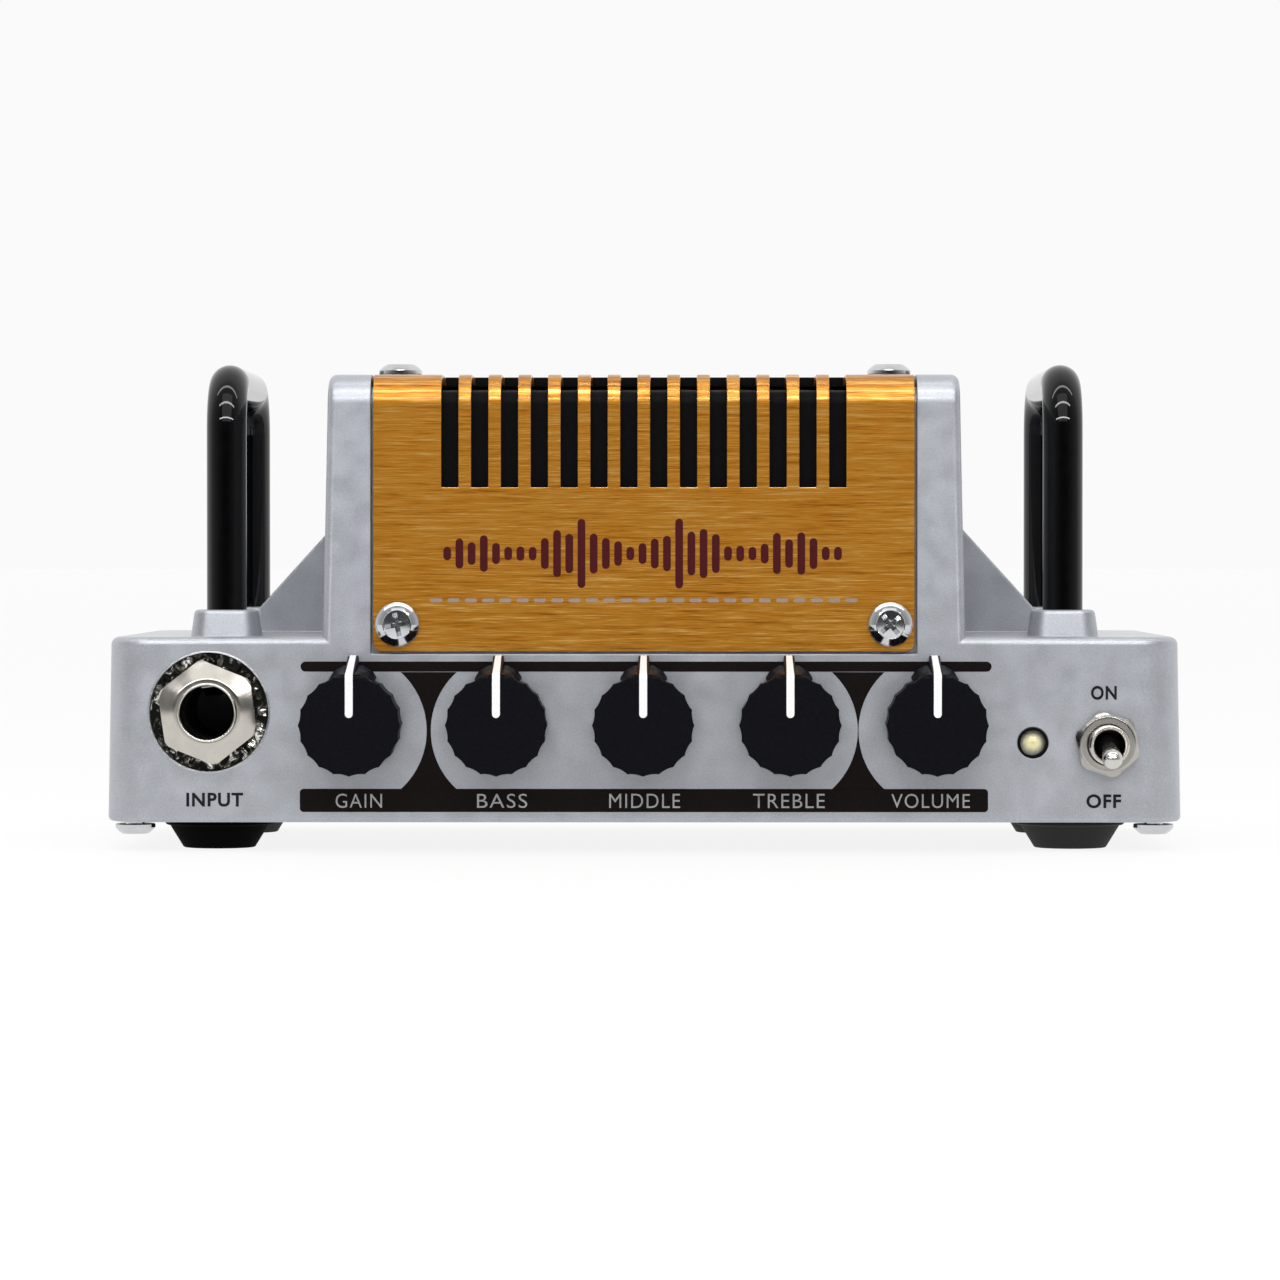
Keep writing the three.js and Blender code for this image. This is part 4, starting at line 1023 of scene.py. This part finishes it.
def sockets(nickel, plastic, satin):
    """All the 6.35 mm sockets with their nuts."""
    socket("input_jack", INPUT, FRONT, -1, nickel, plastic)
    nut = hex_nut("input_hex_nut", INPUT, FRONT - GAP, -1, SOCKET_NUT, 8, satin)
    settle(nut, "casing", "nickel", "input_jack_nut")
    for (name, x), turn in zip(REAR_SOCKETS.items(), (21, -6, 33)):
        place = (x, REAR_SOCKET_Z)
        socket(f"{name}_jack", place, REAR, 1, nickel, plastic)
        nut = hex_nut(f"{name}_hex_nut", place, REAR + GAP, 1, SOCKET_NUT, turn, nickel)
        settle(nut, "casing", "nickel", f"{name}_jack_nut")


def socket_housing(x, half, corner, steps, depth, bore, material, floor=1.5):
    """A square housing behind the rear wall, bored from the front down to its floor."""
    z = REAR_SOCKET_Z
    housing = prism("housing", rounded_rect(x - half, x + half, z - half, z + half, corner, steps),
                    REAR - depth, REAR - 2.7, along_y, material, 0.2, 0.2, 2)
    boolean(housing, [rod("bore", bore, (x, REAR - depth + floor, z), (x, REAR, z), material)], "DIFFERENCE")
    return housing


def small_sockets(nickel, plastic):
    """The 3.5 mm sockets and the power inlet: plastic mouths in the rear wall."""
    for name, x in SMALL_SOCKETS.items():
        mouth = [(1.8, -16), (3.0, -16), (3.0, -0.25), (2.8, 0), (2.05, 0), (1.8, -0.25)]
        tube = lathe("mouth", mouth, (x, REAR, REAR_SOCKET_Z), (0, 1, 0), plastic, 56)
        obj = merged(f"{name}_socket", [tube, socket_housing(x, 4, 0.5, 3, 16.7, 2.4, plastic)])
        finished(obj, 30, "casing", "black_plastic", f"{name}_jack")
        ring = [(1.8, -1.6), (2.15, -1.6), (2.15, -0.35), (2.05, -0.25), (1.88, -0.25), (1.8, -0.35)]
        place = (x, REAR + 0.05, REAR_SOCKET_Z)
        liner_ring = lathe(f"{name}_socket_ring", ring, place, (0, 1, 0), nickel, 48)
        finished(liner_ring, 30, "casing", "nickel")
    x = INLET_X
    mouth = [(3.1, -14), (5.0, -14), (5.0, -0.35), (4.75, 0), (3.4, 0), (3.1, -0.3)]
    well = lathe("well", mouth, (x, REAR, REAR_SOCKET_Z), (0, 1, 0), plastic, 64)
    inlet = merged("power_inlet", [well, socket_housing(x, 5.2, 0.6, 3, 15.7, 4.0, plastic, floor=2)])
    finished(inlet, 30, "casing", "black_plastic", "dc_inlet")
    profile = [(0, -13.9), (1.0, -13.9), (1.0, -1.9), (0.85, -1.6), (0.5, -1.5), (0, -1.5)]
    pin = lathe("power_inlet_pin", profile, (x, REAR, REAR_SOCKET_Z), (0, 1, 0), nickel, 32)
    finished(pin, 30, "casing", "nickel")


def lamp(lens, dark):
    """The lamp's dome with its flange and legs, in a thin dark ring that fills the gap in its hole as
    painted shade.
    """
    x, z = LED
    flange = [(0, -4.8), (1.85, -4.8), (1.85, -3.9), (1.5, -3.8), (1.5, -1.3)]
    profile = [*flange, *arc(0, -1.45, 1.47, 6, 84, 8), (0, 0.02)]
    dome = lathe("lamp_dome", profile, (x, -27.25, z - 0.06), (0, -1, 0), lens, 40)
    sections = [rounded_rect(x + side * 0.65 - 0.2, x + side * 0.65 + 0.2, z - 0.25, z + 0.25, 0.06, 2)
                for side in SIDES.values()]
    legs = [prism("leg", section, -23.0, -14.8, along_y, lens) for section in sections]
    obj = merged("lamp_lens", [dome, *legs])
    finished(obj, 30, "casing", "led_lens", "power_led")
    # A dark ring filling the gap between the dome and its hole: painted shade.
    rim = [(1.5, 0.3), (1.5, -0.02), (1.82, -0.02), (1.82, 0.3)]
    bezel = lathe("lamp_gap_painted_shade", rim, (x, FRONT, z - 0.06), (0, 1, 0), dark, 64)
    settle(bezel, "casing", "black_plastic")


def toggle(nickel, plastic, darker_plating, polished, dark):
    """The power switch: housing, threaded bushing, nut and a lever with a round tip and a ball painted dark
    as shade down in the bushing.
    """
    x, z = TOGGLE
    housing = prism("housing", rounded_rect(x - 2.2, x + 2.2, z - 4.6, z + 4.6, 0.4, 3), -24.8, -16.8,
                    along_y, plastic, 0.15, 0.15, 2)
    sections = [rounded_rect(x - 0.4, x + 0.4, z + rise - 0.4, z + rise + 0.4, 0.1, 2)
                for rise in (-2.6, 0, 2.6)]
    pins = [prism("pin", section, -17.0, -14.8, along_y, nickel) for section in sections]
    thread = threaded(-2.6, 4.5, 2.35, 0.42, 0.1)
    neck = [(1.7, -3.4), (2.35, -3.4), *thread, (1.98, 4.5), (1.85, 4.36), (1.78, 3.2)]
    bushing = lathe("bushing", neck, (x, FRONT, z), (0, -1, 0), nickel, 56)
    switch = merged("switch_body", [housing, *pins, bushing])
    finished(switch, 28, "casing", "nickel", "toggle_body")
    nut = hex_nut("switch_hex_nut", TOGGLE, FRONT - GAP, -1, TOGGLE_NUT, 12, darker_plating)
    settle(nut, "casing", "nickel", "toggle_nut")
    profile = [(0, -2.2), (0.6, -2.2), (0.6, -1.4), *arc(0, 0, 1.5, -60, 58, 10), (0.78, 1.45), (0.85, 2.2),
               (1.18, 6.3), *arc(0, 6.8, 1.2, -12, 84, 10), (0, 8.0)]
    lean, pivot = math.radians(12.5), Vector((x, -29.5, z))
    lever = lathe("switch_lever", profile, pivot, (0, -math.cos(lean), -math.sin(lean)), polished, 40)
    # The lever's ball down in the bushing gets the dark material: painted shade.
    lever.data.materials.append(dark)
    for face in lever.data.polygons:
        if (face.center / MM - pivot).length < 1.62:
            face.material_index = 1
    finished(lever, 30, "power_lever", "nickel", "toggle_lever")


# ---------------------------------------------------------------- print
def printed(name, outline, material):
    """A flat printed shape on the front."""
    obj = piece(name, [(u, FRONT - PRINT, v) for u, v in outline], [list(range(len(outline)))], material)
    settle(obj, "casing", "black_plastic")


def panel_print(black):
    """The black graphic around the knobs: a strip, a band, and waisted shapes between circles."""
    printed("panel_strip", rounded_rect(-40.7, 41.2, 21.4, 22.6, 0.59, 8), black)
    printed("panel_band", rounded_rect(-40.8, 40.8, 4.75, 7.5, 0.45, 6), black)
    radius, z = 9.36, 14.4
    reach = math.degrees(math.asin(6.95 / radius))
    for name, left, right in (("left", -35.1, -15.9), ("right", 16.0, 34.8)):
        outline = arc(left, z, radius, -reach, reach, 24)
        outline += arc(right, z, radius, 180 - reach, 180 + reach, 24)
        printed(f"panel_waist_{name}", [(u, min(max(v, 7.46), 21.44)) for u, v in outline], black)


def label(name, text, x, z, width, height, y, material, weight=0.03, rear=False):
    """A word in a plain face, fitted to a width and a height."""
    curve = bpy.data.curves.new(name, "FONT")
    curve.body = text
    curve.resolution_u = 6
    curve.offset = weight
    curve.space_character = 1.12
    source = placed(f"{name}_source", curve)
    bpy.context.view_layer.update()
    mesh = bpy.data.meshes.new_from_object(source.evaluated_get(bpy.context.evaluated_depsgraph_get()))
    bpy.data.objects.remove(source)
    xs = [v.co.x for v in mesh.vertices]
    ys = [v.co.y for v in mesh.vertices]
    flip = -1 if rear else 1
    for vertex in mesh.vertices:
        u = (vertex.co.x - (min(xs) + max(xs)) / 2) / (max(xs) - min(xs)) * width
        v = (vertex.co.y - (min(ys) + max(ys)) / 2) / (max(ys) - min(ys)) * height
        vertex.co = Vector((x + flip * u, y, z + v)) * MM
    mesh.materials.clear()
    mesh.materials.append(material)
    settle(placed(name, mesh), "casing", "black_plastic")


def labels(dark, light):
    """The words on the panel, and generic ones at the rear sockets."""
    band_y = FRONT - 0.035
    for name, (x, width) in zip(KNOB_NAMES, (
            (-33.8, 5.5), (-16.8, 5.95), (0.1, 8.4), (17.2, 8.5), (34.0, 9.3))):
        label(f"label_{name}", name.upper(), x, 6.08, width, 1.68, band_y, light, weight=-0.004)
    y = FRONT - PRINT
    label("label_input", "INPUT", -50.9, 6.2, 6.75, 1.66, y, dark)
    label("label_on", "ON", 54.5, 18.9, 3.05, 1.66, y, dark)
    label("label_off", "OFF", 54.5, 6.05, 4.1, 1.66, y, dark)
    places = {**REAR_SOCKETS, **SMALL_SOCKETS, "dc in": INLET_X}
    for (word, x), width in zip(places.items(), (8.6, 4.6, 6.8, 6.8, 3.6, 4.8)):
        name = f"label_rear_{word.replace(' ', '_')}"
        label(name, word.upper(), x, 6.2, width, 1.5, REAR + PRINT, dark, rear=True)


def ornament(maroon, grey):
    """A waveform of round-ended bars and a thin dashed rule, in place of any name."""
    bars, radius, middle = 33, 0.46, 35.4
    for i in range(bars):
        share = i / (bars - 1)
        x = -23.3 + 46.3 * share
        swell = math.sin(math.pi * share) ** 0.35
        beat = 0.62 + 0.38 * math.sin(share * 2 * math.pi * 3.5 + 0.6)
        ripple = 0.78 + 0.22 * math.sin(i * 2.4)
        half = max(0.8, 4.4 * swell * beat * ripple)
        outline = (arc(x, middle + half - radius, radius, 0, 180, 8)
                   + arc(x, middle - half + radius, radius, 180, 360, 8))
        printed(f"wave_bar_{i:02d}", outline, maroon)
    for i in range(25):
        x = -24.6 + i * 2.05
        printed(f"rule_dash_{i:02d}", rounded_rect(x - 0.72, x + 0.72, 29.62, 30.08, 0.2, 3), grey)


# ---------------------------------------------------------------- everything
def carried_over(finishes):
    """Gives the CAD nodes that stay their own finish."""
    for node, finish in finishes.items():
        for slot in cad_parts[node].material_slots:
            slot.material = finish


camera()
studio()
floor()

silver = silver_paint()
gold = gold_sheet()
gloss = black_gloss()
plastic = moulded("knob_plastic", (0.0044, 0.0045, 0.0066), 0.45, specular=0.03)
dark_plastic = moulded("black_plastic", (0.012, 0.012, 0.013), 0.45)
powder = moulded("black_steel", (0.004, 0.0036, 0.0045), 0.45, grain=0.25, relief=0.01, specular=0.05)
zinc = plated("zinc", (0.62, 0.63, 0.64), 0.1, 0.16)
nickel = plated("nickel", (0.66, 0.63, 0.58), 0.12, 0.18, edge=0.08)
polished = plated("polished_nickel", (0.66, 0.64, 0.6), 0.2, 0.26, relief=0.0005)
# A darker nickel, used for the switch's nut.
darker_nickel = plated("darker_nickel", (0.47, 0.45, 0.42), 0.16, 0.26, edge=0.08)
nut_nickel = plated("nut_nickel", (0.57, 0.54, 0.49), 0.15, 0.22)
black = black_print()
white = ink("pointer_white", (0.82, 0.82, 0.83), 0.45)
light_ink = ink("light_ink", (0.42, 0.42, 0.42))
dark_ink = ink("dark_ink", (0.012, 0.012, 0.015))
maroon = ink("maroon_ink", (0.06, 0.007, 0.009), 0.4)
grey = ink("grey_ink", (0.3, 0.24, 0.2))
board = circuit_board()
aluminium = brushed_aluminium()

casing(silver)
cover(gold, powder)
liner(powder)
for side_name, side_sign in SIDES.items():
    handle(side_name, side_sign, gloss)
corners = [f"{end}_{side_name}" for end in ("front", "rear") for side_name in SIDES]
# The front left foot has the mottled rubber made here, the others the frame's plain rubber.
mottled_rubber, plain_rubber = rubber(), bpy.data.materials["rubber"]
for corner in corners:
    foot(corner, mottled_rubber if corner == "front_left" else plain_rubber)
screws(zinc)
for knob_index, knob_name in enumerate(KNOB_NAMES):
    knob(knob_index, knob_name, plastic, white)
sockets(nickel, dark_plastic, nut_nickel)
# The washer gets plating with painted shade and glints; the seat's edge ring of bright aluminium is a
# painted highlight.
lock_washer(shade_painted_nickel(), aluminium)
small_sockets(nickel, dark_plastic)
lamp(led_lens(), powder)
toggle(nickel, dark_plastic, darker_nickel, polished, powder)
panel_print(black)
labels(dark_ink, light_ink)
ornament(maroon, grey)

kept = {"bottom_plate": powder, "main_board": board, "control_board": board, "heat_sink": aluminium}
for knob_name in KNOB_NAMES:
    kept[f"{knob_name}_shaft"] = aluminium
    kept[f"{knob_name}_potentiometer"] = zinc
for corner in corners:
    kept[f"handle_screw_{corner}"] = zinc
carried_over(kept)
